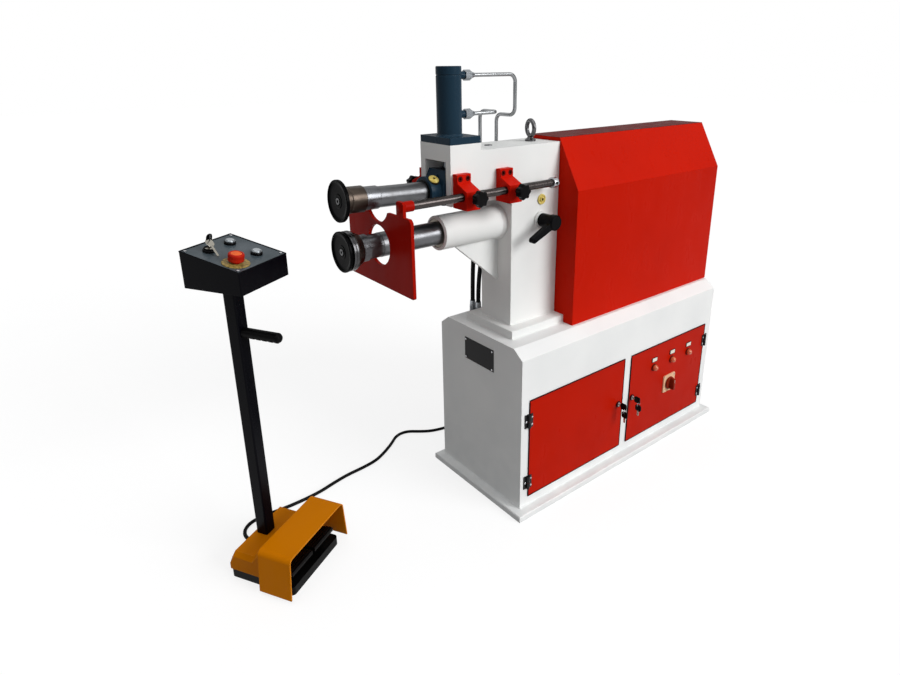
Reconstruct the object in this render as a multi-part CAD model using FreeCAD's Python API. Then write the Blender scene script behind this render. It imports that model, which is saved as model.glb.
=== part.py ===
"""Motorised beading machine with a hydraulic upper shaft and its own operator station.

All sizes are in millimetres. The origin is on the floor under the middle of the cabinet.
X runs along the machine towards the motor, Y towards the back, Z up, and the plane Y = 0
holds both shafts, the column and the head.
"""

import FreeCAD
import Part
import math
import os

V = FreeCAD.Vector
os.makedirs("parts", exist_ok=True)


# Driving dimensions: cabinet and base plate
floor_z = 0.0
base_height = 21.0
base_margin_left = 32.7
base_margin_right = 22.6
base_margin_front = 36.7
base_margin_back = 20.7
sheet = 3.0
cabinet_half_length = 549.0
cabinet_half_depth = 219.0
cabinet_height = 594.0
cabinet_chamfer_y = 42.0
cabinet_chamfer_z = 31.0

# Driving dimensions: doors, hinges and locks
door_height = 373.0
door_lift = 37.5
door_margin_left = 36.1
door_margin_right = 41.0
door_spacing = 40.9
door_sheet = 2.5
door_seal_gap = 0.4
door_overlay = 4.0
door_lip_inset = 34.0
door_lip_depth = 16.0
hinge_height = 50.0
hinge_reach = 17.0
hinge_from_bottom = 59.0
hinge_from_top = 73.0
hinge_leaf = 2.5
hinge_knuckle_radius = 5.5
hinge_pin_radius = 2.5
hinge_axis_off_edge = 4.5
lock_above_door_bottom = 191.5
left_lock_inset = 24.0
right_lock_inset = 17.0
lock_shaft_radius = 5.0
lock_plug_radius = 7.5
lock_tongue = 31.0
key_head_length = 26.0
key_head_height = 26.0
key_thickness = 6.0

# Driving dimensions: column, head and lower arm
flange_height = 28.0
axis_above_flange = 349.0
column_left = -474.0
column_length = 210.0
column_half_depth = 75.5
column_wall = 20.0
flange_margin_left = 32.0
flange_margin_right = 49.0
flange_margin_side = 45.1
head_above_axis = 93.0
head_height = 156.0
head_reach = 239.0
head_step_length = 114.0
head_step_height = 22.0
head_cheek = 23.5
head_roof = 27.0
head_end_wall = 36.0
arm_wall = 9.0
arm_bore_radius = 45.0
arm_reach = 244.0
gusset_thickness = 16.0
gusset_drop = 202.0
gusset_reach = 181.0

# Driving dimensions: shafts, gears and rolls
pivot_from_column_right = 21.0
shaft_distance = 117.0
open_angle = 1.97
shaft_radius = 36.0
shaft_neck_radius = 30.0
upper_shaft_radius = 30.0
seat_radius = 25.0
gear_teeth = 23
pinion_teeth = 17
gear_module = 5.0
gear_backlash = 1.6
gear_gap = 11.0
gear_width = 36.0
roll_radius = 58.2
roll_reach = 567.0
thrust_from_column_right = 80.0
thrust_width = 24.0
thrust_radius = 52.0

# Driving dimensions: hydraulics
cylinder_from_head_end = 55.0
cylinder_radius = 37.5
cylinder_foot = 20.0
barrel_length = 195.0
rod_radius = 22.5
port_low_rise = 58.0
port_high_drop = 26.0
pipe_radius = 6.0
pipe_bend = 24.0
pipe_off_column = 14.5
union_below_head = 45.0
union_length = 35.0
hose_radius = 8.0
near_pipe_inset = 76.0
far_pipe_inset = 6.0
hose_a_inset = 28.0
hose_b_inset = 32.0
hose_a_off_column = 87.5
hose_b_off_column = 59.5

# Driving dimensions: depth stop
bar_off_head = 44.5
bar_above_head_bottom = 35.0
bar_radius = 12.5
bar_length = 598.0
clamp_from_head_end = 32.5
clamp_pitch = 165.5
clamp_width = 50.0
stop_reach = 445.0
stop_thickness = 10.0
stop_margin = 52.0
stop_drop = 122.0
stop_rise = 102.5
stop_hole_radius = 60.0
knob_radius = 25.0

# Driving dimensions: cover and drive
cover_length = 822.0
cover_half_depth = 165.0
cover_wall_height = 473.7
cover_roof_height = 165.1
cover_ridge_half = 73.0

# Driving dimensions: operator station
station_x = -1264.3
station_y = 92.8
station_yaw = 30.0
foot_half_u = 119.0
foot_half_w = 114.5
foot_base_height = 28.0
dome_top = 91.0
hood_half_bottom = 150.0
hood_half_top = 138.0
hood_bottom = 15.0
hood_top = 150.0
hood_front = -130.0
hood_back = -17.0
hood_wall = 4.0
post_side = 40.0
post_w = 69.0
post_height = 837.0
console_w = 45.0
console_half_u = 96.3
console_half_w = 95.2
console_height = 81.7
console_slope = 0.21
grip_drop = 153.0
cord_radius = 6.0

# Named clearances
shaft_fit = 0.06
seat_fit = 0.02
moving_gap = 0.3


# Levels and places that follow from the driving dimensions
base_left = -cabinet_half_length - base_margin_left
base_right = cabinet_half_length + base_margin_right
base_front = -cabinet_half_depth - base_margin_front
base_back = cabinet_half_depth + base_margin_back
cabinet_top = base_height + cabinet_height
door_bottom = base_height + door_lift
doors_room = 2.0 * cabinet_half_length - door_margin_left - door_margin_right - door_spacing
door_length = doors_room / 2.0
left_door_left = door_margin_left - cabinet_half_length
right_door_left = left_door_left + door_length + door_spacing
lock_z = door_bottom + lock_above_door_bottom
left_lock_x = left_door_left + door_length - left_lock_inset
right_lock_x = right_door_left + right_lock_inset
flange_top = cabinet_top + flange_height
lower_axis_z = flange_top + axis_above_flange
column_right = column_left + column_length
flange_left = column_left - flange_margin_left
flange_right = column_right + flange_margin_right
flange_half_depth = column_half_depth + flange_margin_side
head_bottom = lower_axis_z + head_above_axis
head_top = head_bottom + head_height
head_step_top = head_top + head_step_height
head_left = column_left - head_reach
head_step_right = head_left + head_step_length
head_channel_half = column_half_depth - head_cheek
head_channel_top = head_top - head_roof
arm_outer_radius = arm_bore_radius + arm_wall
arm_left = column_left - arm_reach
gusset_bottom = lower_axis_z - gusset_drop
pivot_x = column_right - pivot_from_column_right
gear_left = column_right + gear_gap
roll_tip = column_left - roll_reach
thrust_x = column_right - thrust_from_column_right
cylinder_x = head_left + cylinder_from_head_end
barrel_bottom = head_step_top + cylinder_foot
cylinder_top = barrel_bottom + barrel_length
port_low_z = barrel_bottom + port_low_rise
port_high_z = cylinder_top - port_high_drop
pipe_column_y = column_half_depth + pipe_off_column
union_bottom = head_bottom - union_below_head
union_top = union_bottom + union_length
near_pipe_x = column_left + near_pipe_inset
far_pipe_x = column_left + far_pipe_inset
hose_a = (column_left + hose_a_inset, column_half_depth + hose_a_off_column)
hose_b = (column_left + hose_b_inset, column_half_depth + hose_b_off_column)
bar_y = column_half_depth + bar_off_head
bar_z = head_bottom + bar_above_head_bottom
clamp_front_x = head_left + clamp_from_head_end
clamp_back_x = clamp_front_x + clamp_pitch
stop_left = column_left - stop_reach
bar_right = stop_left + bar_length
stop_half_depth = bar_y + stop_margin
stop_bottom = lower_axis_z - stop_drop
stop_shoulder = lower_axis_z + stop_rise
cover_right = column_right + cover_length
cover_eaves = cabinet_top + cover_wall_height
cover_ridge = cover_eaves + cover_roof_height
console_bottom = dome_top + post_height
console_top = console_bottom + console_height
grip_z = console_bottom - grip_drop


# Helpers
def block(x0, x1, y0, y1, z0, z1):
    return Part.makeBox(x1 - x0, y1 - y0, z1 - z0, V(x0, y0, z0))


def cylinder(radius, start, end):
    axis = end - start
    return Part.makeCylinder(radius, axis.Length, start, axis)


def x_cylinder(radius, x0, x1, y, z):
    return cylinder(radius, V(x0, y, z), V(x1, y, z))


def y_cylinder(radius, y0, y1, x, z):
    return cylinder(radius, V(x, y0, z), V(x, y1, z))


def z_cylinder(radius, z0, z1, x, y):
    return cylinder(radius, V(x, y, z0), V(x, y, z1))


def face_of(points):
    return Part.Face(Part.makePolygon(points + points[:1]))


def prism_x(profile, x0, x1):
    """Extrude a (y, z) profile along X."""
    return face_of([V(x0, y, z) for y, z in profile]).extrude(V(x1 - x0, 0, 0))


def prism_y(profile, y0, y1):
    """Extrude an (x, z) profile along Y."""
    return face_of([V(x, y0, z) for x, z in profile]).extrude(V(0, y1 - y0, 0))


def turned_x(profile, y, z):
    """Turn an (x, radius) profile about a line along X."""
    section = face_of([V(x, y, z + radius) for x, radius in profile])
    return section.revolve(V(0, y, z), V(1, 0, 0), 360)


def turned_y(profile, x, z):
    """Turn a (y, radius) profile about a line along Y."""
    section = face_of([V(x, y, z + radius) for y, radius in profile])
    return section.revolve(V(x, 0, z), V(0, 1, 0), 360)


def turned_z(profile, x, y):
    """Turn a (radius, z) profile about a vertical line."""
    section = face_of([V(x + radius, y, z) for radius, z in profile])
    return section.revolve(V(x, y, 0), V(0, 0, 1), 360)


def hexagon_bar(across_flats, start, end):
    """A hexagonal bar between two points."""
    axis = end - start
    corner = across_flats / math.sqrt(3.0)
    corners = []
    for i in range(6):
        angle = math.radians(60.0 * i)
        corners.append(V(corner * math.cos(angle), corner * math.sin(angle), 0))
    bar = face_of(corners).extrude(V(0, 0, axis.Length))
    turn = FreeCAD.Rotation(V(0, 0, 1), axis)
    bar.Placement = FreeCAD.Placement(start, turn)
    return bar


def fused(first, *others):
    whole = first
    for other in others:
        whole = whole.fuse(other)
    return whole.removeSplitter()


def group(*solids):
    return Part.makeCompound(list(solids))


def rounded(shape, radius, wanted):
    """Round the straight edges whose middle point passes the test."""
    edges = [edge for edge in shape.Edges if wanted(edge.CenterOfMass, edge)]
    return shape.makeFillet(radius, edges)


def bent_tube(points, radius, bend=None):
    """A round tube on straight runs that are joined by tangent arcs."""
    edges = []
    start = points[0]
    for before, corner, after in zip(points, points[1:], points[2:]):
        into = (before - corner).normalize()
        out = (after - corner).normalize()
        half_turn = (math.pi - into.getAngle(out)) / 2.0
        if bend is None:
            trim = 0.45 * min((before - corner).Length, (after - corner).Length)
        else:
            trim = bend * math.tan(half_turn)
        arc_start = corner + into * trim
        arc_end = corner + out * trim
        arc_radius = trim / math.tan(half_turn)
        middle = (into + out).normalize()
        to_centre = arc_radius / math.cos(half_turn)
        arc_middle = corner + middle * (to_centre - arc_radius)
        edges.append(Part.LineSegment(start, arc_start).toShape())
        edges.append(Part.Arc(arc_start, arc_middle, arc_end).toShape())
        start = arc_end
    edges.append(Part.LineSegment(start, points[-1]).toShape())
    path = Part.Wire(edges)
    direction = (points[1] - points[0]).normalize()
    section = Part.Wire(Part.Circle(points[0], direction, radius).toShape())
    return path.makePipeShell([section], True, True)


def save(name, shape):
    shape.exportStep("parts/" + name + ".step")


# Base plate
# A thick steel plate with a small chamfer round its top edge.
# The cabinet is welded to it and it stands flat on the floor.
base_plate = block(base_left, base_right, base_front, base_back, floor_z, base_height)
base_plate = base_plate.makeChamfer(
    3.0, [edge for edge in base_plate.Edges if edge.CenterOfMass.z > base_height - 0.1]
)
save("base_plate", base_plate)


# Cabinet
# Folded sheet with both long top edges chamfered, a divider between the two
# compartments, one opening per door and holes for the two hoses.
def cabinet_profile(inset):
    half = cabinet_half_depth - inset
    top = cabinet_top - inset
    shoulder = cabinet_top - cabinet_chamfer_z - 0.6 * inset
    flat = half - cabinet_chamfer_y + 0.5 * inset
    bottom = base_height + inset
    front = [(-flat, top), (-half, shoulder), (-half, bottom)]
    return front + [(-y, z) for y, z in reversed(front)]


cabinet = prism_x(cabinet_profile(0.0), -cabinet_half_length, cabinet_half_length)
cabinet = cabinet.cut(
    prism_x(cabinet_profile(sheet), sheet - cabinet_half_length, cabinet_half_length - sheet)
)
divider = block(
    -sheet, 0.0, -cabinet_half_depth + sheet, cabinet_half_depth - sheet,
    base_height + sheet, cabinet_top - cabinet_chamfer_z
)
cabinet = cabinet.fuse(divider)
door_top = door_bottom + door_height
front_y = -cabinet_half_depth
for door_left in (left_door_left, right_door_left):
    cabinet = cabinet.cut(
        block(
            door_left + door_overlay, door_left + door_length - door_overlay,
            front_y - 1.0, front_y + sheet + 1.0,
            door_bottom + door_overlay, door_top - door_overlay
        )
    )
for hose_x, hose_y in (hose_a, hose_b):
    cabinet = cabinet.cut(
        z_cylinder(hose_radius + 1.0, cabinet_top - 5.0, cabinet_top + 1.0, hose_x, hose_y)
    )
cord_gland_x = cabinet_half_length - 879.0
cord_gland_z = base_height + 39.0
cabinet = cabinet.cut(
    y_cylinder(
        cord_radius + 2.0, cabinet_half_depth - 5.0, cabinet_half_depth + 1.0, cord_gland_x, cord_gland_z
    )
)
save("cabinet_shell", cabinet.removeSplitter())


# Door hinges
# Each door has two hinges with a pin that stands in front of the sheet, so the door
# swings clear of the frame. The upper knuckle and the pin belong to the frame leaf.
hinge_pin_y = front_y - door_seal_gap - door_sheet - hinge_leaf - 1.2
left_hinge_x = left_door_left - hinge_axis_off_edge
right_hinge_x = right_door_left + door_length + hinge_axis_off_edge
hinge_levels = (door_bottom + hinge_from_bottom, door_top - hinge_from_top)
knuckle_gap = 0.15


def frame_hinge(axis_x, level, away):
    """The fixed leaf, upper knuckle and pin; away points from the door to the frame."""
    low = level - hinge_height / 2.0
    high = level + hinge_height / 2.0
    x0, x1 = sorted((axis_x, axis_x + away * hinge_reach))
    leaf = block(x0, x1, front_y - hinge_leaf, front_y, low, high)
    swing_room = z_cylinder(
        hinge_knuckle_radius + moving_gap + 0.3, low - 1.0, level + knuckle_gap, axis_x, hinge_pin_y
    )
    knuckle = z_cylinder(hinge_knuckle_radius, level + knuckle_gap, high, axis_x, hinge_pin_y)
    web_x0, web_x1 = sorted((axis_x, axis_x + away * hinge_knuckle_radius))
    web = block(web_x0, web_x1, hinge_pin_y, front_y, level + knuckle_gap, high)
    pin = z_cylinder(hinge_pin_radius, low, high, axis_x, hinge_pin_y)
    screw = y_cylinder(
        4.0, front_y - hinge_leaf - 1.2, front_y - hinge_leaf, axis_x + away * 11.5, level
    )
    return fused(leaf.cut(swing_room), knuckle, web, pin, screw)


def door_hinge(axis_x, level, towards):
    """The door leaf with the lower knuckle, bored for the pin."""
    low = level - hinge_height / 2.0
    high = level + hinge_height / 2.0
    back = front_y - door_seal_gap - door_sheet
    x0, x1 = sorted((axis_x + towards * 7.0, axis_x + towards * hinge_reach))
    leaf = block(x0, x1, back - hinge_leaf, back, low, high)
    arm_x0, arm_x1 = sorted((axis_x, axis_x + towards * 8.0))
    arm = block(arm_x0, arm_x1, back - hinge_leaf, back, low, level - knuckle_gap)
    knuckle = z_cylinder(hinge_knuckle_radius, low, level - knuckle_gap, axis_x, hinge_pin_y)
    bore = z_cylinder(hinge_pin_radius + shaft_fit, low - 1.0, high + 1.0, axis_x, hinge_pin_y)
    solid = fused(leaf, arm, knuckle).cut(bore)
    for offset in (-14.0, 14.0):
        screw = y_cylinder(
            3.4, back - hinge_leaf - 1.2, back - hinge_leaf, axis_x + towards * 12.5, level + offset
        )
        solid = solid.fuse(screw)
    return solid.removeSplitter()


hinge_leaves = []
for level in hinge_levels:
    hinge_leaves.append(frame_hinge(left_hinge_x, level, -1.0))
    hinge_leaves.append(frame_hinge(right_hinge_x, level, 1.0))
save("hinge_leaves", group(*hinge_leaves))


# Doors
# A flat red panel that laps the frame by a few millimetres, stiffened by a folded
# lip inside, with its lock housing near the free edge.
def door(left, lock_x, hinge_x, towards):
    right = left + door_length
    back = front_y - door_seal_gap
    panel = block(left, right, back - door_sheet, back, door_bottom, door_top)
    outer = block(
        left + door_lip_inset, right - door_lip_inset, back, back + door_lip_depth,
        door_bottom + door_lip_inset, door_top - door_lip_inset
    )
    inset = door_lip_inset + door_sheet
    inner = block(
        left + inset, right - inset, back, back + door_lip_depth, door_bottom + inset, door_top - inset
    )
    leaf = panel.fuse(outer.cut(inner))
    housing = y_cylinder(11.0, back - door_sheet - 4.0, back - door_sheet, lock_x, lock_z)
    sleeve = y_cylinder(8.5, back, back + 5.0, lock_x, lock_z)
    leaf = leaf.fuse(housing).fuse(sleeve)
    leaf = leaf.cut(y_cylinder(lock_shaft_radius + shaft_fit, back - 9.0, back + 9.0, lock_x, lock_z))
    for level in hinge_levels:
        leaf = leaf.fuse(door_hinge(hinge_x, level, towards))
    return leaf.removeSplitter()


left_door = door(left_door_left, left_lock_x, left_hinge_x, 1.0)
right_door = door(right_door_left, right_lock_x, right_hinge_x, -1.0)


# Door locks
# A lock plug with its key in it and a second key on a ring, and a tongue inside that
# slips behind the frame after a quarter turn.
def door_key_head(x, y_far, z_low):
    """A flat key head with round corners and a hole for the ring near its far end."""
    half = key_thickness / 2.0
    head_part = block(x - half, x + half, y_far, y_far + key_head_length, z_low, z_low + key_head_height)
    return rounded(head_part, 7.0, lambda middle, edge: abs(edge.tangentAt(edge.FirstParameter).x) > 0.9)


def door_lock(x):
    back = front_y - door_seal_gap
    plug_back = back - door_sheet - 4.0 - moving_gap
    plug_front = plug_back - 2.0
    shaft = y_cylinder(lock_shaft_radius, plug_front, back + 10.0, x, lock_z)
    plug = y_cylinder(lock_plug_radius, plug_front, plug_back, x, lock_z)
    blade = block(x - 1.1, x + 1.1, plug_front - 9.0, plug_front, lock_z - 4.0, lock_z + 4.0)
    head_far = plug_front - 8.0 - key_head_length
    key_head = door_key_head(x, head_far, lock_z - key_head_height / 2.0)
    ring_y = head_far + 5.0
    ring_top = lock_z - key_head_height / 2.0 + 5.0
    ring_radius = 8.0
    ring = Part.makeTorus(ring_radius, 1.0, V(x, ring_y, ring_top - ring_radius), V(0, 1, 0))
    spare_top = ring_top - 2.0 * ring_radius + 5.0
    spare_head = door_key_head(x, ring_y - key_head_length / 2.0, spare_top - key_head_height)
    spare_blade = block(
        x - 1.1, x + 1.1, ring_y - 4.0, ring_y + 4.0, spare_top - key_head_height - 20.0,
        spare_top - key_head_height + 1.0
    )
    tongue = block(x - 6.0, x + 6.0, back + 6.0, back + 9.0, lock_z - 6.0, lock_z + lock_tongue)
    return fused(shaft, plug, blade, key_head, ring, spare_head, spare_blade, tongue)


save("left_latch", door_lock(left_lock_x))
save("right_latch", door_lock(right_lock_x))


# Door controls
# Three signal lamps with label holders above them and the plate of the main switch.
lamp_z = door_top - 93.5
lamp_xs = [right_door_left + offset for offset in (147.0, 265.0, 378.0)]
label_z = door_top - 60.5
switch_x = right_door_left + 258.0
switch_z = door_bottom + 176.5
switch_half = 38.0
panel_front = front_y - door_seal_gap - door_sheet
controls = []
for lamp_x in lamp_xs:
    bezel = turned_y(
        [(panel_front, 0.0), (panel_front, 15.0), (panel_front - 4.0, 14.0), (panel_front - 4.0, 0.0)],
        lamp_x, lamp_z
    )
    dome = Part.makeSphere(11.0, V(lamp_x, panel_front - 8.0, lamp_z))
    dome = dome.common(y_cylinder(12.0, panel_front - 20.0, panel_front - 8.0, lamp_x, lamp_z))
    lamp_neck = y_cylinder(11.0, panel_front - 8.0, panel_front - 4.0, lamp_x, lamp_z)
    controls.append(fused(bezel, lamp_neck, dome))
    label = block(
        lamp_x - 17.0, lamp_x + 17.0, panel_front - 2.0, panel_front, label_z - 8.0, label_z + 8.0
    )
    controls.append(label)
plate = block(
    switch_x - switch_half, switch_x + switch_half, panel_front - 5.0, panel_front,
    switch_z - switch_half, switch_z + switch_half
)
plate = rounded(plate, 6.0, lambda middle, edge: abs(edge.tangentAt(edge.FirstParameter).y) > 0.9)
plate = plate.cut(y_cylinder(6.0 + shaft_fit, panel_front - 6.0, panel_front + 1.0, switch_x, switch_z))
controls.append(plate)
save("door_controls", group(*controls))
right_door = right_door.cut(
    y_cylinder(6.0 + shaft_fit, panel_front - 1.0, panel_front + 5.0, switch_x, switch_z)
)
save("left_door", left_door)
save("right_door", right_door)

handle_back = panel_front - 5.0 - moving_gap
handle = turned_y(
    [(handle_back, 0.0), (handle_back, 27.0), (handle_back - 8.0, 25.0), (handle_back - 8.0, 0.0)],
    switch_x, switch_z
)
handle_bar = prism_y(
    [(switch_x - 7.0, switch_z - 25.0), (switch_x + 7.0, switch_z - 25.0),
     (switch_x + 7.0, switch_z + 25.0), (switch_x - 7.0, switch_z + 25.0)],
    handle_back - 26.0, handle_back - 7.0
)
handle_bar = rounded(handle_bar, 4.0, lambda middle, edge: abs(edge.tangentAt(edge.FirstParameter).y) > 0.9)
handle_spindle = y_cylinder(6.0, handle_back - 1.0, front_y + 20.0, switch_x, switch_z)
save("main_switch_handle", fused(handle, handle_bar, handle_spindle))


# Name plate
# A bare black plate held by four rivets on the cabinet's end.
plate_x = -cabinet_half_length
plate_half = 78.0
plate_height = 81.0
plate_top = cabinet_top - 42.0
rivet_inset = 7.0
name_plate = block(plate_x - 1.5, plate_x, -plate_half, plate_half, plate_top - plate_height, plate_top)
for rivet_y in (rivet_inset - plate_half, plate_half - rivet_inset):
    for rivet_z in (plate_top - plate_height + rivet_inset, plate_top - rivet_inset):
        name_plate = name_plate.fuse(x_cylinder(3.2, plate_x - 2.7, plate_x - 1.5, rivet_y, rivet_z))
save("nameplate", name_plate)


# Column flange
# The thick plate that spreads the column's load over the cabinet's top.
flange = block(flange_left, flange_right, -flange_half_depth, flange_half_depth, cabinet_top, flange_top)
flange = flange.makeChamfer(2.0, [edge for edge in flange.Edges if edge.CenterOfMass.z > flange_top - 0.1])
save("column_flange", flange)


# Column
# A hollow square column. It carries the lower shaft in its right wall, the lower arm
# on its left wall and the boss of the adjusting lever on its front.
lever_boss_radius = 29.5
lever_boss_front = -column_half_depth - 8.5
lever_shaft_radius = 14.0
column = block(column_left, column_right, -column_half_depth, column_half_depth, flange_top, head_bottom)
inner_half = column_half_depth - column_wall
column = column.cut(
    block(
        column_left + column_wall, column_right - column_wall, -inner_half, inner_half,
        flange_top + column_wall, head_bottom + 1.0
    )
)
column = column.fuse(
    y_cylinder(lever_boss_radius, lever_boss_front, 1.0 - column_half_depth, thrust_x, lower_axis_z)
)
column = column.cut(
    y_cylinder(
        lever_shaft_radius + shaft_fit, lever_boss_front - 1.0, 1.0 - inner_half, thrust_x, lower_axis_z
    )
)
column = column.cut(
    x_cylinder(arm_bore_radius, column_left - 1.0, column_left + column_wall + 1.0, 0.0, lower_axis_z)
)
right_bush_radius = 40.0
column = column.cut(
    x_cylinder(
        right_bush_radius + seat_fit, column_right - column_wall - 1.0, column_right + 1.0, 0.0, lower_axis_z
    )
)
pivot_z = lower_axis_z + shaft_distance
pivot_ring_radius = 45.0
shaft_room = upper_shaft_radius + 5.0
column = column.cut(
    x_cylinder(shaft_room, column_left - 1.0, column_right - head_end_wall - 1.0, 0.0, pivot_z)
)
pivot_bore = x_cylinder(
    pivot_ring_radius + seat_fit, column_right - head_end_wall - 1.0, column_right + 1.0, 0.0, pivot_z
)
column = column.cut(pivot_bore)
save("column_body", column.removeSplitter())


# Head
# An inverted channel. The upper shaft swings inside it, the bearing block slides in
# its open left end and the cylinder stands on its raised left part.
head = block(head_left, column_right, -column_half_depth, column_half_depth, head_bottom, head_top)
head = head.fuse(
    block(head_left, head_step_right, -column_half_depth, column_half_depth, head_top, head_step_top)
)
head_inner_right = column_right - head_end_wall
head = head.cut(
    block(
        head_left - 1.0, head_inner_right, -head_channel_half, head_channel_half,
        head_bottom - 1.0, head_channel_top
    )
)
throat_radius = 26.0
fillet_block = prism_y(
    [(column_left - throat_radius, head_bottom), (column_left, head_bottom),
     (column_left, head_bottom - throat_radius)],
    -column_half_depth, -head_channel_half
)
fillet_round = y_cylinder(
    throat_radius, -column_half_depth - 1.0, -head_channel_half + 1.0,
    column_left - throat_radius, head_bottom - throat_radius
)
throat_front = fillet_block.cut(fillet_round)
throat_back = throat_front.mirror(V(0, 0, 0), V(0, 1, 0))
head = head.fuse(throat_front).fuse(throat_back)
head = head.cut(pivot_bore)
rod_clear = rod_radius + 1.5
head = head.cut(z_cylinder(rod_clear, head_channel_top - 1.0, head_step_top + 1.0, cylinder_x, 0.0))
bolt_radius = 5.0
screw_z = bar_z + 48.0
screw_offset = 14.0
screw_depth = 18.0
for clamp_x in (clamp_front_x, clamp_back_x):
    for side in (-1.0, 1.0):
        for offset in (-screw_offset, screw_offset):
            y0, y1 = sorted((side * (column_half_depth - screw_depth), side * (column_half_depth + 1.0)))
            head = head.cut(y_cylinder(bolt_radius + seat_fit, y0, y1, clamp_x + offset, screw_z))
save("head_block", head.removeSplitter())


# Lower arm
# A thick tube that carries the lower shaft out to the rolls, with the weld collar on
# the column and a triangular gusset under it.
arm_profile = [
    (arm_left, arm_bore_radius + 2.0), (arm_left + 3.0, arm_outer_radius),
    (column_left - 16.0, arm_outer_radius),
    (column_left - 7.0, arm_outer_radius + 3.5), (column_left, arm_outer_radius + 5.0),
    (column_left, arm_bore_radius), (arm_left, arm_bore_radius)
]
lower_arm = turned_x(arm_profile, 0.0, lower_axis_z)
gusset = prism_y(
    [(column_left, gusset_bottom), (column_left, lower_axis_z - arm_bore_radius - 4.0),
     (column_left - gusset_reach, lower_axis_z - arm_bore_radius - 4.0)],
    -gusset_thickness / 2.0, gusset_thickness / 2.0
)
gusset = gusset.cut(x_cylinder(arm_bore_radius + 4.0, arm_left, column_left + 1.0, 0.0, lower_axis_z))
save("lower_arm", fused(lower_arm, gusset))


# Gear cover
# Folded sheet over the gears and the motor, with a sloping roof on both sides. Its
# left wall is cut out round the column and the head.
cover_pitch = (cover_half_depth - cover_ridge_half) / (cover_ridge - cover_eaves)
cover_stretch = math.sqrt(1.0 + cover_pitch * cover_pitch)


def cover_profile(inset):
    half = cover_half_depth - inset
    eaves = cover_eaves - inset * (cover_stretch - 1.0) / cover_pitch
    ridge = cover_ridge - inset
    ridge_half = cover_ridge_half + cover_pitch * inset - cover_stretch * inset
    bottom = cabinet_top - inset
    front = [(-ridge_half, ridge), (-half, eaves), (-half, bottom)]
    return front + [(-y, z) for y, z in reversed(front)]


cover = prism_x(cover_profile(0.0), column_right, cover_right)
cover = cover.cut(prism_x(cover_profile(sheet), column_right + sheet, cover_right - sheet))
cover = cover.cut(
    block(
        column_right - 1.0, column_right + sheet + 1.0, -column_half_depth - 0.5, column_half_depth + 0.5,
        cabinet_top - 1.0, head_top + 0.5
    )
)
cover = cover.cut(
    block(
        column_right - 1.0, column_right + sheet + 1.0, -flange_half_depth - 0.5, flange_half_depth + 0.5,
        cabinet_top - 1.0, flange_top + 0.5
    )
)
save("gear_cover", cover)


# Gear outline
# Involute flanks from the base circle to the tip, thinned for backlash.
def gear_face(teeth, turn, x, z):
    pitch_radius = gear_module * teeth / 2.0
    base_radius = pitch_radius * math.cos(math.radians(20.0))
    tip_radius = pitch_radius + gear_module
    root_radius = pitch_radius - 1.25 * gear_module
    half_tooth = (math.pi * gear_module - gear_backlash) / (4.0 * pitch_radius)
    pitch_involute = math.tan(math.radians(20.0)) - math.radians(20.0)
    flank = []
    steps = 4
    first = max(base_radius, root_radius)
    for i in range(steps + 1):
        radius = first + (tip_radius - first) * i / steps
        pressure = math.acos(min(1.0, base_radius / radius))
        half = half_tooth + pitch_involute - (math.tan(pressure) - pressure)
        flank.append((radius, half))
    corners = []
    for tooth in range(teeth):
        centre = math.radians(turn) + 2.0 * math.pi * tooth / teeth
        corners.append((root_radius, centre - flank[0][1]))
        corners += [(radius, centre - half) for radius, half in flank]
        corners += [(radius, centre + half) for radius, half in reversed(flank)]
        corners.append((root_radius, centre + flank[0][1]))
    points = [V(x, radius * math.cos(angle), z + radius * math.sin(angle)) for radius, angle in corners]
    return face_of(points)


def gear(teeth, turn, z, bore):
    body = gear_face(teeth, turn, gear_left, z).extrude(V(gear_width, 0, 0))
    web = 6.0
    rim = gear_module * teeth / 2.0 - 2.6 * gear_module
    hub = seat_radius + 9.0
    if rim > hub + 4.0:
        for x0 in (gear_left - 1.0, gear_left + gear_width - web):
            ring = x_cylinder(rim, x0, x0 + web + 1.0, 0.0, z)
            body = body.cut(ring.cut(x_cylinder(hub, x0, x0 + web + 1.0, 0.0, z)))
    return body.cut(x_cylinder(bore, gear_left - 1.0, gear_left + gear_width + 1.0, 0.0, z))


def tilted(shape):
    """Swing a level upper piece up to the open position at rest."""
    moved = shape.copy()
    moved.rotate(V(pivot_x, 0.0, pivot_z), V(0, 1, 0), open_angle)
    return moved


# Gears
# Two equal gears turn the shafts against each other and the pinion drives the lower one.
tooth_pitch = 360.0 / gear_teeth
lower_gear = gear(gear_teeth, 90.0, lower_axis_z, seat_radius + seat_fit)
upper_gear = gear(gear_teeth, 270.0 + tooth_pitch / 2.0, pivot_z, seat_radius + seat_fit)
save("lower_gear", lower_gear)
save("upper_gear", tilted(upper_gear))
pinion_z = lower_axis_z - gear_module * (gear_teeth + pinion_teeth) / 2.0
pinion_shaft_radius = 19.0
gearbox_left = gear_left + 50.0
pinion = gear_face(pinion_teeth, 90.0, gear_left - 2.0, pinion_z).extrude(V(gear_width + 4.0, 0, 0))
pinion = pinion.fuse(x_cylinder(pinion_shaft_radius, gear_left, gearbox_left + 30.0, 0.0, pinion_z))
save("drive_pinion", pinion.removeSplitter())


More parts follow.
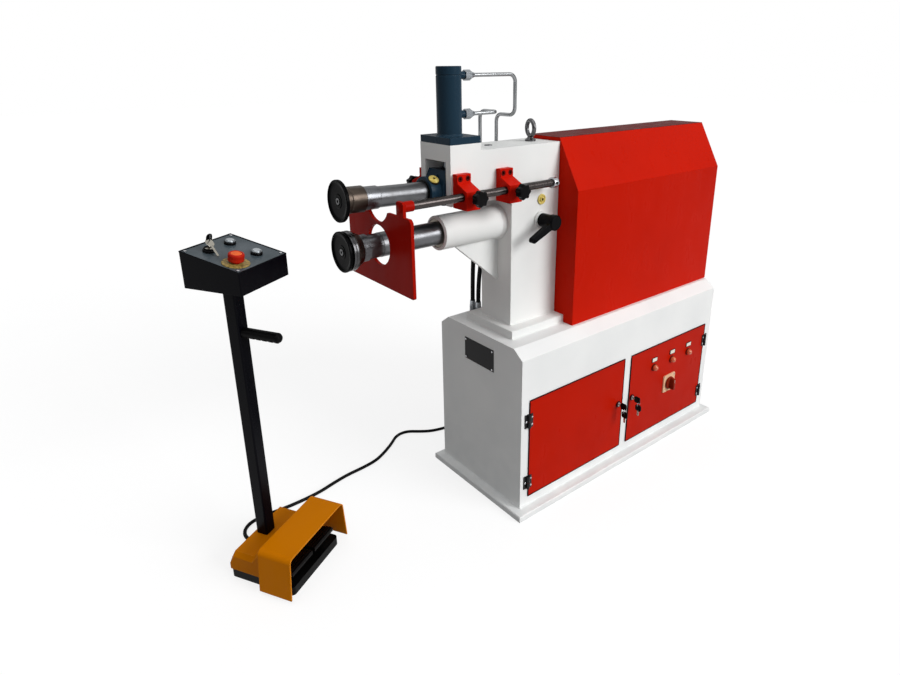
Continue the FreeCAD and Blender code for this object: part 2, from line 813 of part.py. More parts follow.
# Lower shaft
# One turned shaft from the gear to the roll seat. Two collars take the side load of
# the thrust ring, and a nut holds the gear.
collar_radius = 44.0
collar_length = 16.0
collar_gap = 0.3
thrust_left = thrust_x - thrust_width / 2.0
thrust_right = thrust_x + thrust_width / 2.0
roll_seat_left = roll_tip + 12.0
knurl_right = stop_left - 1.0
lower_shaft_profile = [
    (roll_seat_left, 0.0), (roll_seat_left, seat_radius), (knurl_right, seat_radius),
    (knurl_right, shaft_radius),
    (thrust_left - collar_gap - collar_length, shaft_radius),
    (thrust_left - collar_gap - collar_length, collar_radius),
    (thrust_left - collar_gap, collar_radius), (thrust_left - collar_gap, shaft_radius),
    (thrust_right + collar_gap, shaft_radius), (thrust_right + collar_gap, collar_radius),
    (thrust_right + collar_gap + collar_length, collar_radius),
    (thrust_right + collar_gap + collar_length, shaft_radius), (column_right - 28.0, shaft_radius),
    (column_right - 28.0, shaft_neck_radius), (gear_left, shaft_neck_radius), (gear_left, seat_radius),
    (gear_left + gear_width + 12.0, seat_radius), (gear_left + gear_width + 12.0, 0.0)
]
lower_shaft = turned_x(lower_shaft_profile, 0.0, lower_axis_z)
gear_right = gear_left + gear_width
lock_nut = hexagon_bar(56.0, V(gear_right, 0.0, lower_axis_z), V(gear_right + 10.0, 0.0, lower_axis_z))
save("lower_shaft", fused(lower_shaft, lock_nut))


# Lower roll
# Forming disc, groove, ring, cone and the ring that clamps the set on the shaft.
groove_radius = 50.0
ring_radius = 57.0
cone_radius = 46.0
knurl_radius = 42.0
disc_width = 8.0
lower_profile = [
    (roll_tip, 12.0), (roll_tip, roll_radius - 1.0), (roll_tip + 1.0, roll_radius),
    (roll_tip + disc_width, roll_radius), (roll_tip + disc_width, groove_radius),
    (roll_tip + 14.0, groove_radius), (roll_tip + 14.0, ring_radius), (roll_tip + 31.0, ring_radius),
    (roll_tip + 56.0, cone_radius), (roll_tip + 73.0, cone_radius), (roll_tip + 73.0, knurl_radius),
    (knurl_right, knurl_radius), (knurl_right, seat_radius + seat_fit),
    (roll_seat_left, seat_radius + seat_fit), (roll_seat_left, 12.0)
]
lower_roll = turned_x(lower_profile, 0.0, lower_axis_z)
clamp_screw = turned_x(
    [(roll_tip + 2.0, 4.0), (roll_tip + 2.0, 10.0), (roll_tip + 9.0, 10.0), (roll_tip + 9.0, 11.9),
     (roll_seat_left, 11.9), (roll_seat_left, 0.0), (roll_tip + 8.0, 0.0), (roll_tip + 8.0, 4.0)],
    0.0, lower_axis_z
)
save("lower_roll", group(lower_roll, clamp_screw))


# Upper shaft
# The shaft rides in a ball at the gear end, so its outer end can be pressed down.
ball_radius = 41.0
ball_half_width = 15.0
block_left = head_left - 11.0
block_right = block_left + 114.0
upper_seat_right = stop_left
upper_profile = [
    (roll_seat_left, 0.0), (roll_seat_left, seat_radius), (upper_seat_right, seat_radius),
    (upper_seat_right, upper_shaft_radius), (gear_left, upper_shaft_radius), (gear_left, seat_radius),
    (gear_right + 12.0, seat_radius), (gear_right + 12.0, 0.0)
]
upper_shaft = turned_x(upper_profile, 0.0, pivot_z)
ball = Part.makeSphere(ball_radius, V(pivot_x, 0.0, pivot_z))
ball = ball.common(
    x_cylinder(ball_radius + 1.0, pivot_x - ball_half_width, pivot_x + ball_half_width, 0.0, pivot_z)
)
upper_nut = hexagon_bar(56.0, V(gear_right, 0.0, pivot_z), V(gear_right + 10.0, 0.0, pivot_z))
save("upper_shaft", tilted(fused(upper_shaft, ball, upper_nut)))


# Upper roll
# A plain disc on a hub, with a spacer behind it.
hub_radius = 37.0
spacer_radius = 33.0
upper_disc_width = 10.0
spacer_left = roll_tip + 65.0
upper_roll_profile = [
    (roll_tip, 12.0), (roll_tip, roll_radius - 1.0), (roll_tip + 1.0, roll_radius),
    (roll_tip + upper_disc_width, roll_radius), (roll_tip + upper_disc_width, hub_radius - 6.0),
    (roll_tip + upper_disc_width + 3.0, hub_radius - 6.0), (roll_tip + upper_disc_width + 3.0, hub_radius),
    (spacer_left, hub_radius), (spacer_left, spacer_radius), (upper_seat_right, spacer_radius),
    (upper_seat_right, seat_radius + seat_fit), (roll_seat_left, seat_radius + seat_fit),
    (roll_seat_left, 12.0)
]
upper_roll = turned_x(upper_roll_profile, 0.0, pivot_z)
upper_screw = clamp_screw.copy()
upper_screw.translate(V(0.0, 0.0, shaft_distance))
save("upper_roll", tilted(group(upper_roll, upper_screw)))


# Bearing block
# It carries the outer end of the upper shaft, slides between the head's cheeks and is
# hung on the piston rod by a pocket that lets it tilt.
block_half = 50.0
block_below = 38.0
block_above = 62.0
pocket_x = cylinder_x - 1.2
pocket_depth = 22.0
pocket_lid = 10.0
rod_head_radius = 19.0
rod_neck_radius = 13.0
pocket_side = 2.0
block_top = pivot_z + block_above
bearing_block = prism_y(
    [(block_left, pivot_z - block_below), (block_right, pivot_z - block_below), (block_right, block_top),
     (block_left + 20.0, block_top), (block_left, block_top - 44.0)],
    -block_half, block_half
)
bearing_block = rounded(
    bearing_block, 5.0, lambda middle, edge: middle.x < block_left + 0.1 and abs(middle.y) > block_half - 0.1
)
bearing_block = bearing_block.cut(
    x_cylinder(upper_shaft_radius + shaft_fit, block_left - 1.0, block_right + 1.0, 0.0, pivot_z)
)
bearing_block = bearing_block.cut(
    z_cylinder(
        rod_head_radius + pocket_side, block_top - pocket_depth, block_top - pocket_lid, pocket_x, 0.0
    )
)
bearing_block = bearing_block.cut(
    z_cylinder(rod_neck_radius + pocket_side, block_top - pocket_lid - 1.0, block_top + 1.0, pocket_x, 0.0)
)
facet_middle = V(block_left + 10.5, 0.0, block_top - 20.9)
facet_out = V(-44.0, 0.0, 20.0).normalize()
grease_cap = cylinder(10.0, facet_middle, facet_middle + facet_out * 4.0)
grease_cap = grease_cap.fuse(cylinder(4.5, facet_middle, facet_middle + facet_out * 6.5))
save("bearing_block", tilted(group(bearing_block, grease_cap.removeSplitter())))


# Piston rod
# A chromed rod with a neck and a domed head that pushes in the block's pocket.
sine = math.sin(math.radians(open_angle))
cosine = math.cos(math.radians(open_angle))
rest_lift = (pivot_x - cylinder_x) * sine
pocket_floor_z = pivot_z + rest_lift + (block_above - pocket_depth) * cosine
rod_head_bottom = pocket_floor_z + moving_gap
rod_head_top = rod_head_bottom + pocket_depth - pocket_lid - 1.6
rod_shoulder = pivot_z + rest_lift + block_above * cosine + 1.6
rod_dome = 0.9
rod_top = cylinder_top - 60.0
piston_length = 18.0
piston_rod = turned_z(
    [(0.0, rod_head_bottom), (0.5 * rod_head_radius, rod_head_bottom + 0.25 * rod_dome),
     (rod_head_radius, rod_head_bottom + rod_dome), (rod_head_radius, rod_head_top - rod_dome),
     (rod_neck_radius, rod_head_top), (rod_neck_radius, rod_shoulder), (rod_radius, rod_shoulder + 2.0),
     (rod_radius, rod_top), (0.0, rod_top)],
    cylinder_x, 0.0
)
barrel_wall = 6.0
piston = z_cylinder(cylinder_radius - barrel_wall, rod_top, rod_top + piston_length, cylinder_x, 0.0)
save("piston_rod", fused(piston_rod, piston))


# Cylinder
# Barrel on a square foot plate that is bolted to the head, hollow for the piston.
groove_z = cylinder_top - 25.0
barrel = turned_z(
    [(rod_radius + shaft_fit, head_step_top), (rod_radius + shaft_fit, barrel_bottom + 8.0),
     (cylinder_radius - barrel_wall + shaft_fit, barrel_bottom + 8.0),
     (cylinder_radius - barrel_wall + shaft_fit, cylinder_top - 22.0), (0.0, cylinder_top - 22.0),
     (0.0, cylinder_top), (cylinder_radius - 2.0, cylinder_top), (cylinder_radius, cylinder_top - 2.0),
     (cylinder_radius, groove_z + 2.0), (cylinder_radius - 1.5, groove_z + 1.0),
     (cylinder_radius - 1.5, groove_z - 1.0), (cylinder_radius, groove_z - 2.0),
     (cylinder_radius, barrel_bottom + 5.0), (cylinder_radius + 4.0, barrel_bottom),
     (cylinder_radius + 4.0, head_step_top)],
    cylinder_x, 0.0
)
foot_plate = block(
    head_left, head_step_right, -column_half_depth, column_half_depth, head_step_top, barrel_bottom
)
foot_plate = rounded(foot_plate, 3.0, lambda middle, edge: abs(edge.tangentAt(edge.FirstParameter).z) > 0.9)
foot_plate = foot_plate.cut(
    z_cylinder(cylinder_radius, head_step_top - 1.0, barrel_bottom + 1.0, cylinder_x, 0.0)
)
port_face = cylinder_x + cylinder_radius + 17.5
barrel = barrel.fuse(foot_plate)
for port_z in (port_low_z, port_high_z):
    boss = x_cylinder(11.0, cylinder_x + cylinder_radius - barrel_wall + 1.0, port_face, 0.0, port_z)
    bore_clear = z_cylinder(cylinder_radius - 1.0, port_z - 20.0, port_z + 20.0, cylinder_x, 0.0)
    barrel = barrel.fuse(boss.cut(bore_clear))
save("hydraulic_cylinder", barrel.removeSplitter())


# Pipe fittings
# Hexagon nuts at the cylinder's ports, unions where pipe meets hose, and the hose
# ends that screw into the cabinet's top.
port_nut_end = port_face + 37.0
fittings = []
for port_z in (port_low_z, port_high_z):
    nut = hexagon_bar(27.0, V(port_face, 0.0, port_z), V(port_nut_end - 14.0, 0.0, port_z))
    cone = Part.makeCone(
        11.5, pipe_radius + 1.5, 14.0, V(port_nut_end - 14.0, 0.0, port_z), V(1, 0, 0)
    )
    pipe_hole = x_cylinder(pipe_radius + seat_fit, port_nut_end - 12.0, port_nut_end + 1.0, 0.0, port_z)
    fittings.append(fused(nut, cone).cut(pipe_hole))
for pipe_x in (near_pipe_x, far_pipe_x):
    union = hexagon_bar(
        24.0, V(pipe_x, pipe_column_y, union_bottom + 8.0), V(pipe_x, pipe_column_y, union_top)
    )
    ferrule = z_cylinder(10.5, union_bottom, union_bottom + 8.0, pipe_x, pipe_column_y)
    pipe_hole = z_cylinder(pipe_radius + seat_fit, union_top - 12.0, union_top + 1.0, pipe_x, pipe_column_y)
    fittings.append(fused(union, ferrule).cut(pipe_hole))
inlet_hex_top = cabinet_top + 25.0
inlet_top = cabinet_top + 45.0
for hose_x, hose_y in (hose_a, hose_b):
    nut = hexagon_bar(22.0, V(hose_x, hose_y, cabinet_top), V(hose_x, hose_y, inlet_hex_top))
    sleeve = turned_z(
        [(0.0, inlet_hex_top), (11.0, inlet_hex_top), (10.0, inlet_top), (0.0, inlet_top)], hose_x, hose_y
    )
    tail = z_cylinder(hose_radius, cabinet_top - 30.0, cabinet_top, hose_x, hose_y)
    fittings.append(fused(nut, sleeve, tail))
save("pipe_fittings", group(*fittings))


# Steel pipes
# Two bent pipes run from the cylinder's ports to the unions behind the column.
pipe_start = port_nut_end - 12.0
pipe_end_z = union_top - 12.0
high_pipe_turn_z = port_low_z - 14.0
high_pipe = bent_tube(
    [V(pipe_start, 0.0, port_high_z), V(near_pipe_x, 0.0, port_high_z),
     V(near_pipe_x, 0.0, high_pipe_turn_z),
     V(near_pipe_x, pipe_column_y, high_pipe_turn_z), V(near_pipe_x, pipe_column_y, pipe_end_z)],
    pipe_radius, pipe_bend
)
low_pipe = bent_tube(
    [V(pipe_start, 0.0, port_low_z), V(far_pipe_x, 0.0, port_low_z),
     V(far_pipe_x, pipe_column_y, port_low_z),
     V(far_pipe_x, pipe_column_y, pipe_end_z)],
    pipe_radius, pipe_bend
)
save("steel_pipes", group(high_pipe, low_pipe))


# Hoses
# Two rubber hoses lead from the unions down to the cabinet's top behind the column,
# and inside the cabinet straight on to the valve block.
hose_first = union_bottom - 72.0
hose_second = cabinet_top + 240.0
valve_hose_top = 430.0
far_hose = bent_tube(
    [V(far_pipe_x, pipe_column_y, union_bottom), V(far_pipe_x, pipe_column_y, hose_first),
     V(hose_a[0], hose_a[1], hose_second), V(hose_a[0], hose_a[1], inlet_top)],
    hose_radius
)
near_hose = bent_tube(
    [V(near_pipe_x, pipe_column_y, union_bottom), V(near_pipe_x, pipe_column_y, hose_first),
     V(hose_b[0], hose_b[1], hose_second - 40.0), V(hose_b[0], hose_b[1], inlet_top)],
    hose_radius
)
hose_tail = cabinet_top - 30.0
inner_a = z_cylinder(hose_radius, valve_hose_top, hose_tail, hose_a[0], hose_a[1])
inner_b = z_cylinder(hose_radius, valve_hose_top, hose_tail, hose_b[0], hose_b[1])
save("rubber_hoses", group(far_hose, near_hose, inner_a, inner_b))


# Hydraulic unit
# Oil tank with its pump motor and a valve block under the hoses, in the left half
# of the cabinet.
tank_left = 49.0 - cabinet_half_length
tank_length = 350.0
tank_front = -110.0
tank_back = cabinet_half_depth - 34.0
tank_bottom = base_height + sheet
tank_top = tank_bottom + 236.0
tank = block(tank_left, tank_left + tank_length, tank_front, tank_back, tank_bottom, tank_top)
tank = rounded(tank, 8.0, lambda middle, edge: abs(edge.tangentAt(edge.FirstParameter).z) > 0.9)
hose_middle_x = (hose_a[0] + hose_b[0]) / 2.0
hose_middle_y = (hose_a[1] + hose_b[1]) / 2.0
valve_half = 34.0
valve_top = valve_hose_top - 30.0
valve_block = block(
    hose_middle_x - valve_half, hose_middle_x + valve_half, hose_middle_y - valve_half,
    hose_middle_y + valve_half, tank_top, valve_top
)
for hose_x, hose_y in (hose_a, hose_b):
    valve_block = valve_block.fuse(
        hexagon_bar(22.0, V(hose_x, hose_y, valve_top), V(hose_x, hose_y, valve_hose_top))
    )
solenoid_length = 76.0
solenoid = x_cylinder(
    22.0, hose_middle_x + valve_half, hose_middle_x + valve_half + solenoid_length, hose_middle_y,
    valve_top - 40.0
)
pump_height = 190.0
pump_motor = turned_z(
    [(0.0, tank_top), (70.0, tank_top), (70.0, tank_top + 10.0), (58.0, tank_top + 14.0),
     (58.0, tank_top + pump_height - 20.0), (50.0, tank_top + pump_height), (0.0, tank_top + pump_height)],
    tank_left + tank_length - 110.0, 20.0
)
save("hydraulic_unit", fused(tank, valve_block, solenoid, pump_motor))


# Electric board
# Mounting plate with a row of switching devices, a transformer and a cable duct, on
# the back wall of the right half.
board_thick = 4.0
board_back = cabinet_half_depth - sheet
board_front = board_back - board_thick
board_left = 90.0
board_length = cabinet_half_length - board_left - 79.0
board_bottom = base_height + 99.0
board_height = 380.0
row_left = board_left + 15.0
row_length = board_length - 30.0
device_count = 6
device_pitch = (row_length - 20.0) / device_count
device_z = board_bottom + 240.0
board = block(
    board_left, board_left + board_length, board_front, board_back, board_bottom, board_bottom + board_height
)
row_right = row_left + row_length
rail = block(row_left, row_right, board_front - 8.0, board_front, device_z + 20.0, device_z + 55.0)
board_parts = fused(board, rail)
for i in range(device_count):
    left = row_left + 10.0 + device_pitch * i
    device = block(
        left, left + device_pitch - 10.0, board_front - 85.0, board_front - 8.0, device_z, device_z + 80.0
    )
    board_parts = board_parts.fuse(device)
duct = block(row_left, row_right, board_front - 60.0, board_front, device_z - 60.0, device_z - 25.0)
transformer_length = 110.0
transformer = block(
    board_left + 40.0, board_left + 40.0 + transformer_length, board_front - 90.0, board_front,
    board_bottom + 30.0, board_bottom + 130.0
)
terminals_left = board_left + 40.0 + transformer_length + 50.0
terminals = block(
    terminals_left, board_left + board_length - 20.0, board_front - 45.0, board_front,
    board_bottom + 50.0, board_bottom + 100.0
)
save("electric_board", fused(board_parts, duct, transformer, terminals))


# Shaft bearings
# Two bushes carry the lower shaft, and a ring with a hollow ball seat carries the
# gear end of the upper shaft.
left_bush = x_cylinder(arm_bore_radius - seat_fit, arm_left + 2.0, arm_left + 78.0, 0.0, lower_axis_z)
left_bush = left_bush.cut(
    x_cylinder(shaft_radius + shaft_fit, arm_left, arm_left + 80.0, 0.0, lower_axis_z)
)
bush_right = column_right + 2.0
right_bush = x_cylinder(right_bush_radius, column_right - column_wall, bush_right, 0.0, lower_axis_z)
right_bush = right_bush.cut(
    x_cylinder(shaft_neck_radius + shaft_fit, column_right - 30.0, bush_right + 1.0, 0.0, lower_axis_z)
)
ball_seat = x_cylinder(pivot_ring_radius, pivot_x - 13.0, pivot_x + 13.0, 0.0, pivot_z)
ball_seat = ball_seat.cut(Part.makeSphere(ball_radius + moving_gap, V(pivot_x, 0.0, pivot_z)))
save("shaft_bearings", group(left_bush, right_bush, ball_seat))


# Thrust ring
# The ring between the shaft's collars. The lever's eccentric pin works in its slot
# and shifts the lower shaft sideways.
lever_throw = 4.0
lever_pin_radius = 4.0
ring_pad_front = moving_gap - inner_half
thrust_ring = x_cylinder(thrust_radius, thrust_left, thrust_right, 0.0, lower_axis_z)
thrust_ring = thrust_ring.fuse(
    block(thrust_left, thrust_right, ring_pad_front, -40.0, lower_axis_z - 20.0, lower_axis_z + 20.0)
)
thrust_ring = thrust_ring.cut(
    x_cylinder(shaft_radius + shaft_fit, thrust_left - 1.0, thrust_right + 1.0, 0.0, lower_axis_z)
)
slot_half = lever_pin_radius + moving_gap
thrust_ring = thrust_ring.cut(
    block(
        thrust_x - slot_half, thrust_x + slot_half, ring_pad_front - 1.0, -42.0,
        lower_axis_z - 8.0, lower_axis_z + lever_throw + lever_pin_radius + 2.0
    )
)
save("thrust_ring", thrust_ring.removeSplitter())


# Adjusting lever
# A round hub on the column's front with a flat arm, and the eccentric pin inside.
lever_hub_radius = 26.0
lever_hub_front = lever_boss_front - 66.0
lever_arm_back = lever_boss_front - 44.0
lever_arm_front = lever_boss_front - 62.0
lever_end_x = thrust_x - 93.0
lever_end_z = lower_axis_z - 44.0
lever_end_radius = 9.0
hub_back = lever_boss_front - moving_gap
lever_hub = turned_y(
    [(hub_back, 0.0), (hub_back, lever_hub_radius - 3.0), (lever_arm_back + 2.0, lever_hub_radius - 3.0),
     (lever_arm_back, lever_hub_radius), (lever_hub_front + 4.0, lever_hub_radius),
     (lever_hub_front, lever_hub_radius - 4.0), (lever_hub_front, 0.0)],
    thrust_x, lower_axis_z
)
arm_along = V(lever_end_x - thrust_x, 0.0, lever_end_z - lower_axis_z).normalize()
arm_across = V(-arm_along.z, 0.0, arm_along.x)
arm_root = V(thrust_x, 0.0, lower_axis_z)
arm_tip = V(lever_end_x, 0.0, lever_end_z)
arm_corners = [
    arm_root + arm_across * 13.0, arm_tip + arm_across * lever_end_radius,
    arm_tip - arm_across * lever_end_radius, arm_root - arm_across * 13.0
]
lever_arm = prism_y([(corner.x, corner.z) for corner in arm_corners], lever_arm_front, lever_arm_back)
lever_tip = y_cylinder(lever_end_radius, lever_arm_front, lever_arm_back, lever_end_x, lever_end_z)
lever_spindle = y_cylinder(lever_shaft_radius, hub_back - 1.0, ring_pad_front - 1.0, thrust_x, lower_axis_z)
lever_pin = y_cylinder(
    lever_pin_radius, ring_pad_front - 2.0, -42.0 - moving_gap, thrust_x, lower_axis_z + lever_throw
)
adjust_lever = fused(lever_hub, lever_arm, lever_tip, lever_spindle, lever_pin)
adjust_lever = adjust_lever.cut(
    y_cylinder(3.5, lever_arm_front - 1.0, lever_arm_back + 1.0, lever_end_x, lever_end_z)
)
save("adjust_lever", adjust_lever)


# Grease caps
# A cap on the column's front and a round plug on the head.
column_cap = turned_y(
    [(-column_half_depth, 0.0), (-column_half_depth, 17.0), (-column_half_depth - 4.0, 16.0),
     (-column_half_depth - 4.0, 6.0), (-column_half_depth - 6.5, 5.0), (-column_half_depth - 6.5, 0.0)],
    thrust_x + 1.0, head_bottom - 25.0
)
plug_x = head_left + 205.0
head_plug = turned_z(
    [(0.0, head_top), (13.0, head_top), (12.0, head_top + 2.5), (0.0, head_top + 2.5)], plug_x, 0.0
)
save("grease_caps", group(column_cap, head_plug))


# Eye bolt
# A lifting eye with its collar, screwed into the top of the head.
eye_x = column_right - 63.0
eye_ring = 24.5
eye_bar = 7.0
eye_z = head_top + 41.5
eye = Part.makeTorus(eye_ring, eye_bar, V(eye_x, 0.0, eye_z), V(1, 0, 0))
eye.rotate(V(eye_x, 0.0, eye_z), V(0, 0, 1), -15.0)
collar = turned_z(
    [(0.0, head_top), (18.0, head_top), (18.0, head_top + 5.0), (11.0, head_top + 10.0),
     (9.0, head_top + 14.0), (0.0, head_top + 14.0)],
    eye_x, 0.0
)
save("eye_bolt", fused(eye, collar))


# Clamp blocks
# Four blocks on the head's cheeks guide the two bars; each has two socket screws in
# counterbores and a threaded hole for its knob.
clamp_top = bar_z + 61.0
clamp_bottom = bar_z - 38.0
clamp_step_y = column_half_depth + 21.5
clamp_nose_y = bar_y + 20.0
clamp_slope_top = bar_z + 36.0
clamp_slope_bottom = bar_z + 16.0
screw_head_radius = 8.0
screw_head_height = 10.0
counterbore = screw_head_height + 0.6
stud_radius = 5.0


def front_clamp(x):
    body = prism_x(
        [(-column_half_depth, clamp_top), (-clamp_step_y, clamp_top), (-clamp_step_y, clamp_slope_top),
         (-clamp_nose_y, clamp_slope_bottom), (-clamp_nose_y, clamp_bottom),
         (-column_half_depth, clamp_bottom)],
        x - clamp_width / 2.0, x + clamp_width / 2.0
    )
    body = body.cut(
        x_cylinder(bar_radius + shaft_fit, x - clamp_width, x + clamp_width, -bar_y, bar_z)
    )
    body = body.cut(y_cylinder(stud_radius + shaft_fit, -clamp_nose_y - 1.0, -bar_y, x, bar_z))
    for offset in (-screw_offset, screw_offset):
        body = body.cut(
            y_cylinder(
                screw_head_radius + 0.4, -clamp_step_y - 1.0, counterbore - clamp_step_y, x + offset, screw_z
            )
        )
        body = body.cut(
            y_cylinder(bolt_radius + seat_fit, -clamp_step_y, -column_half_depth + 1.0, x + offset, screw_z)
        )
    return body


def front_screws(x):
    screws = []
    for offset in (-screw_offset, screw_offset):
        seat = counterbore - clamp_step_y
        screw_x = x + offset
        head_part = y_cylinder(screw_head_radius, seat - screw_head_height, seat, screw_x, screw_z)
        shank = y_cylinder(bolt_radius, seat, screw_depth - 1.0 - column_half_depth, screw_x, screw_z)
        socket = hexagon_bar(
            8.0, V(screw_x, seat - screw_head_height - 1.0, screw_z), V(screw_x, seat - 5.0, screw_z)
        )
        screws.append(fused(head_part, shank).cut(socket))
    return screws


def to_back(shape):
    return shape.mirror(V(0, 0, 0), V(0, 1, 0))


clamps = []
screws = []
for clamp_x in (clamp_front_x, clamp_back_x):
    clamps.append(front_clamp(clamp_x))
    clamps.append(to_back(front_clamp(clamp_x)))
    for screw in front_screws(clamp_x):
        screws.append(screw)
        screws.append(to_back(screw))
save("clamp_blocks", group(*clamps))
save("socket_screws", group(*screws))


# Star knobs
# A scalloped black knob on a stud that presses on the guide bar.
knob_near = clamp_nose_y + 10.0
knob_far = knob_near + 32.0


def star_knob(x):
    grip_profile = [
        (-knob_near, 0.0), (-knob_near, 12.0), (-knob_near - 8.0, 13.0), (-knob_near - 12.0, knob_radius),
        (-knob_far + 4.0, knob_radius), (-knob_far, knob_radius - 5.0), (-knob_far, 0.0)
    ]
    grip = turned_y(grip_profile, x, bar_z)
    scallops = 7
    for i in range(scallops):
        angle = 2.0 * math.pi * i / scallops
        grip = grip.cut(
            y_cylinder(
                7.5, -knob_far - 1.0, -knob_near + 1.0,
                x + (knob_radius + 3.0) * math.cos(angle), bar_z + (knob_radius + 3.0) * math.sin(angle)
            )
        )
    stud = y_cylinder(stud_radius, -knob_near - 1.0, -bar_y - bar_radius - moving_gap, x, bar_z)
    return grip.fuse(stud).removeSplitter()


save("star_knob_front_left", star_knob(clamp_front_x))
save("star_knob_front_right", star_knob(clamp_back_x))
save("star_knob_rear_left", to_back(star_knob(clamp_front_x)))
save("star_knob_rear_right", to_back(star_knob(clamp_back_x)))


# Stop plate
# A red plate across both shafts: a round hole for the lower one, an open notch for
# the upper one, and a tab with a boss for each guide bar.
stop_right = stop_left + stop_thickness
tab_inner = bar_y - 17.0
tab_outer = bar_y + 17.0
tab_top = bar_z + 16.0
notch_z = bar_z
corner = 9.0
notch_half = math.sqrt(stop_hole_radius ** 2 - (notch_z - stop_shoulder) ** 2)
right_half = [
    (notch_half, stop_shoulder), (tab_inner - corner, stop_shoulder), (tab_inner, stop_shoulder - 4.0),
    (tab_inner, tab_top - 5.0), (tab_inner + 5.0, tab_top), (tab_outer - 5.0, tab_top),
    (tab_outer, tab_top - 5.0), (tab_outer, stop_shoulder), (stop_half_depth - corner, stop_shoulder),
    (stop_half_depth, stop_shoulder - corner), (stop_half_depth, stop_bottom + 3.0),
    (stop_half_depth - 3.0, stop_bottom)
]
left_half = [(-y, z) for y, z in reversed(right_half)]
stop_plate = prism_x(right_half + left_half, stop_left, stop_right)
for hole_z in (lower_axis_z, notch_z):
    stop_plate = stop_plate.cut(
        x_cylinder(stop_hole_radius, stop_left - 1.0, stop_right + 1.0, 0.0, hole_z)
    )
for side in (-1.0, 1.0):
    boss = x_cylinder(15.0, stop_right, stop_right + 30.0, side * bar_y, bar_z)
    stop_plate = stop_plate.fuse(boss)
for side in (-1.0, 1.0):
    stop_plate = stop_plate.cut(
        x_cylinder(bar_radius + seat_fit, stop_left - 1.0, stop_right + 31.0, side * bar_y, bar_z)
    )
save("stop_plate", stop_plate.removeSplitter())


# Guide bars
# Two round bars through the clamp blocks, each with a set collar at its free end.
bars = []
for side in (-1.0, 1.0):
    bar = x_cylinder(bar_radius, stop_left, bar_right, side * bar_y, bar_z)
    bar = bar.makeChamfer(1.5, [edge for edge in bar.Edges if abs(edge.CenterOfMass.x - bar_right) < 0.1])
    set_collar = x_cylinder(17.0, bar_right - 24.0, bar_right - 4.0, side * bar_y, bar_z)
    set_screw = y_cylinder(3.0, side * bar_y - 18.5, side * bar_y, bar_right - 14.0, bar_z)
    bars.append(fused(bar, set_collar, set_screw))
save("guide_bars", group(*bars))


# Gearbox
# A round reduction gearbox on a welded stand; the pinion shaft leaves its left face.
gearbox_right = gearbox_left + 173.0
gearbox = turned_x(
    [(gearbox_left, 0.0), (gearbox_left, 40.0), (gearbox_left + 6.0, 44.0),
     (gearbox_left + 6.0, 96.0),
     (gearbox_left + 16.0, 102.0), (gearbox_right - 20.0, 102.0), (gearbox_right - 12.0, 112.0),
     (gearbox_right, 112.0), (gearbox_right, 0.0)],
    0.0, pinion_z
)
stand_top = pinion_z - 80.0
stand = block(gearbox_left + 30.0, gearbox_right - 25.0, -90.0, 90.0, cabinet_top, cabinet_top + 12.0)
for side in (-1.0, 1.0):
    y0, y1 = sorted((side * 60.0, side * 72.0))
    leg = block(gearbox_left + 35.0, gearbox_right - 30.0, y0, y1, cabinet_top + 12.0, stand_top)
    stand = stand.fuse(leg)
gearbox = fused(gearbox, stand)
gearbox = gearbox.cut(
    x_cylinder(
        pinion_shaft_radius + shaft_fit, gearbox_left - 1.0, gearbox_left + 30.0 + moving_gap, 0.0, pinion_z
    )
)
save("gearbox", gearbox)


# Drive motor
# A finned motor with a fan cover and a terminal box on top.
motor_left = gearbox_right
fin_profile = [
    (motor_left, 0.0), (motor_left, 100.0), (motor_left + 12.0, 100.0), (motor_left + 12.0, 78.0)
]
fins = 16
fin_pitch = 12.0
for i in range(fins):
    fin_x = motor_left + 18.0 + fin_pitch * i
    fin_profile += [(fin_x, 78.0), (fin_x, 88.0), (fin_x + 4.0, 88.0), (fin_x + 4.0, 78.0)]
fan_left = motor_left + 18.0 + fin_pitch * fins
fin_profile += [
    (fan_left, 78.0), (fan_left, 90.0), (fan_left + 46.0, 90.0), (fan_left + 52.0, 84.0),
    (fan_left + 52.0, 0.0)
]
motor = turned_x(fin_profile, 0.0, pinion_z)
terminal_box = block(motor_left + 60.0, motor_left + 160.0, -45.0, 45.0, pinion_z + 70.0, pinion_z + 135.0)
save("drive_motor", fused(motor, terminal_box))


# Operator station frame
# The station has its own axes: u to the right and w to the back, seen by the operator.
def at_station(shape):
    placed = shape.copy()
    placed.rotate(V(0, 0, 0), V(0, 0, 1), station_yaw)
    placed.translate(V(station_x, station_y, 0.0))
    return placed


console_tilt = math.degrees(math.atan(console_slope))


def on_panel(shape):
    """Place a piece that is drawn on a level panel through the origin."""
    placed = shape.copy()
    placed.rotate(V(0, 0, 0), V(1, 0, 0), console_tilt)
    placed.translate(V(0.0, console_w, console_top))
    return at_station(placed)


# Foot switch base
# A black base with three lugs and the pin on which both pedals turn.
pedal_pin_w = -10.0
pedal_pin_z = 44.0
pedal_pin_radius = 4.0
pedal_gap = 2.0
lug_width = 8.0
housing_wall = 4.0
lug_half_span = foot_half_u - housing_wall - moving_gap
foot_base = block(-foot_half_u, foot_half_u, -foot_half_w, foot_half_w, floor_z, foot_base_height)
foot_base = rounded(foot_base, 12.0, lambda middle, edge: abs(edge.tangentAt(edge.FirstParameter).z) > 0.9)
for lug_u in (lug_width / 2.0 - lug_half_span, 0.0, lug_half_span - lug_width / 2.0):
    foot_base = foot_base.fuse(
        block(
            lug_u - lug_width / 2.0, lug_u + lug_width / 2.0, pedal_pin_w - 8.0, pedal_pin_w + 8.0,
            foot_base_height, pedal_pin_z + 7.0
        )
    )
foot_base = foot_base.fuse(
    x_cylinder(pedal_pin_radius, -lug_half_span, lug_half_span, pedal_pin_w, pedal_pin_z)
)
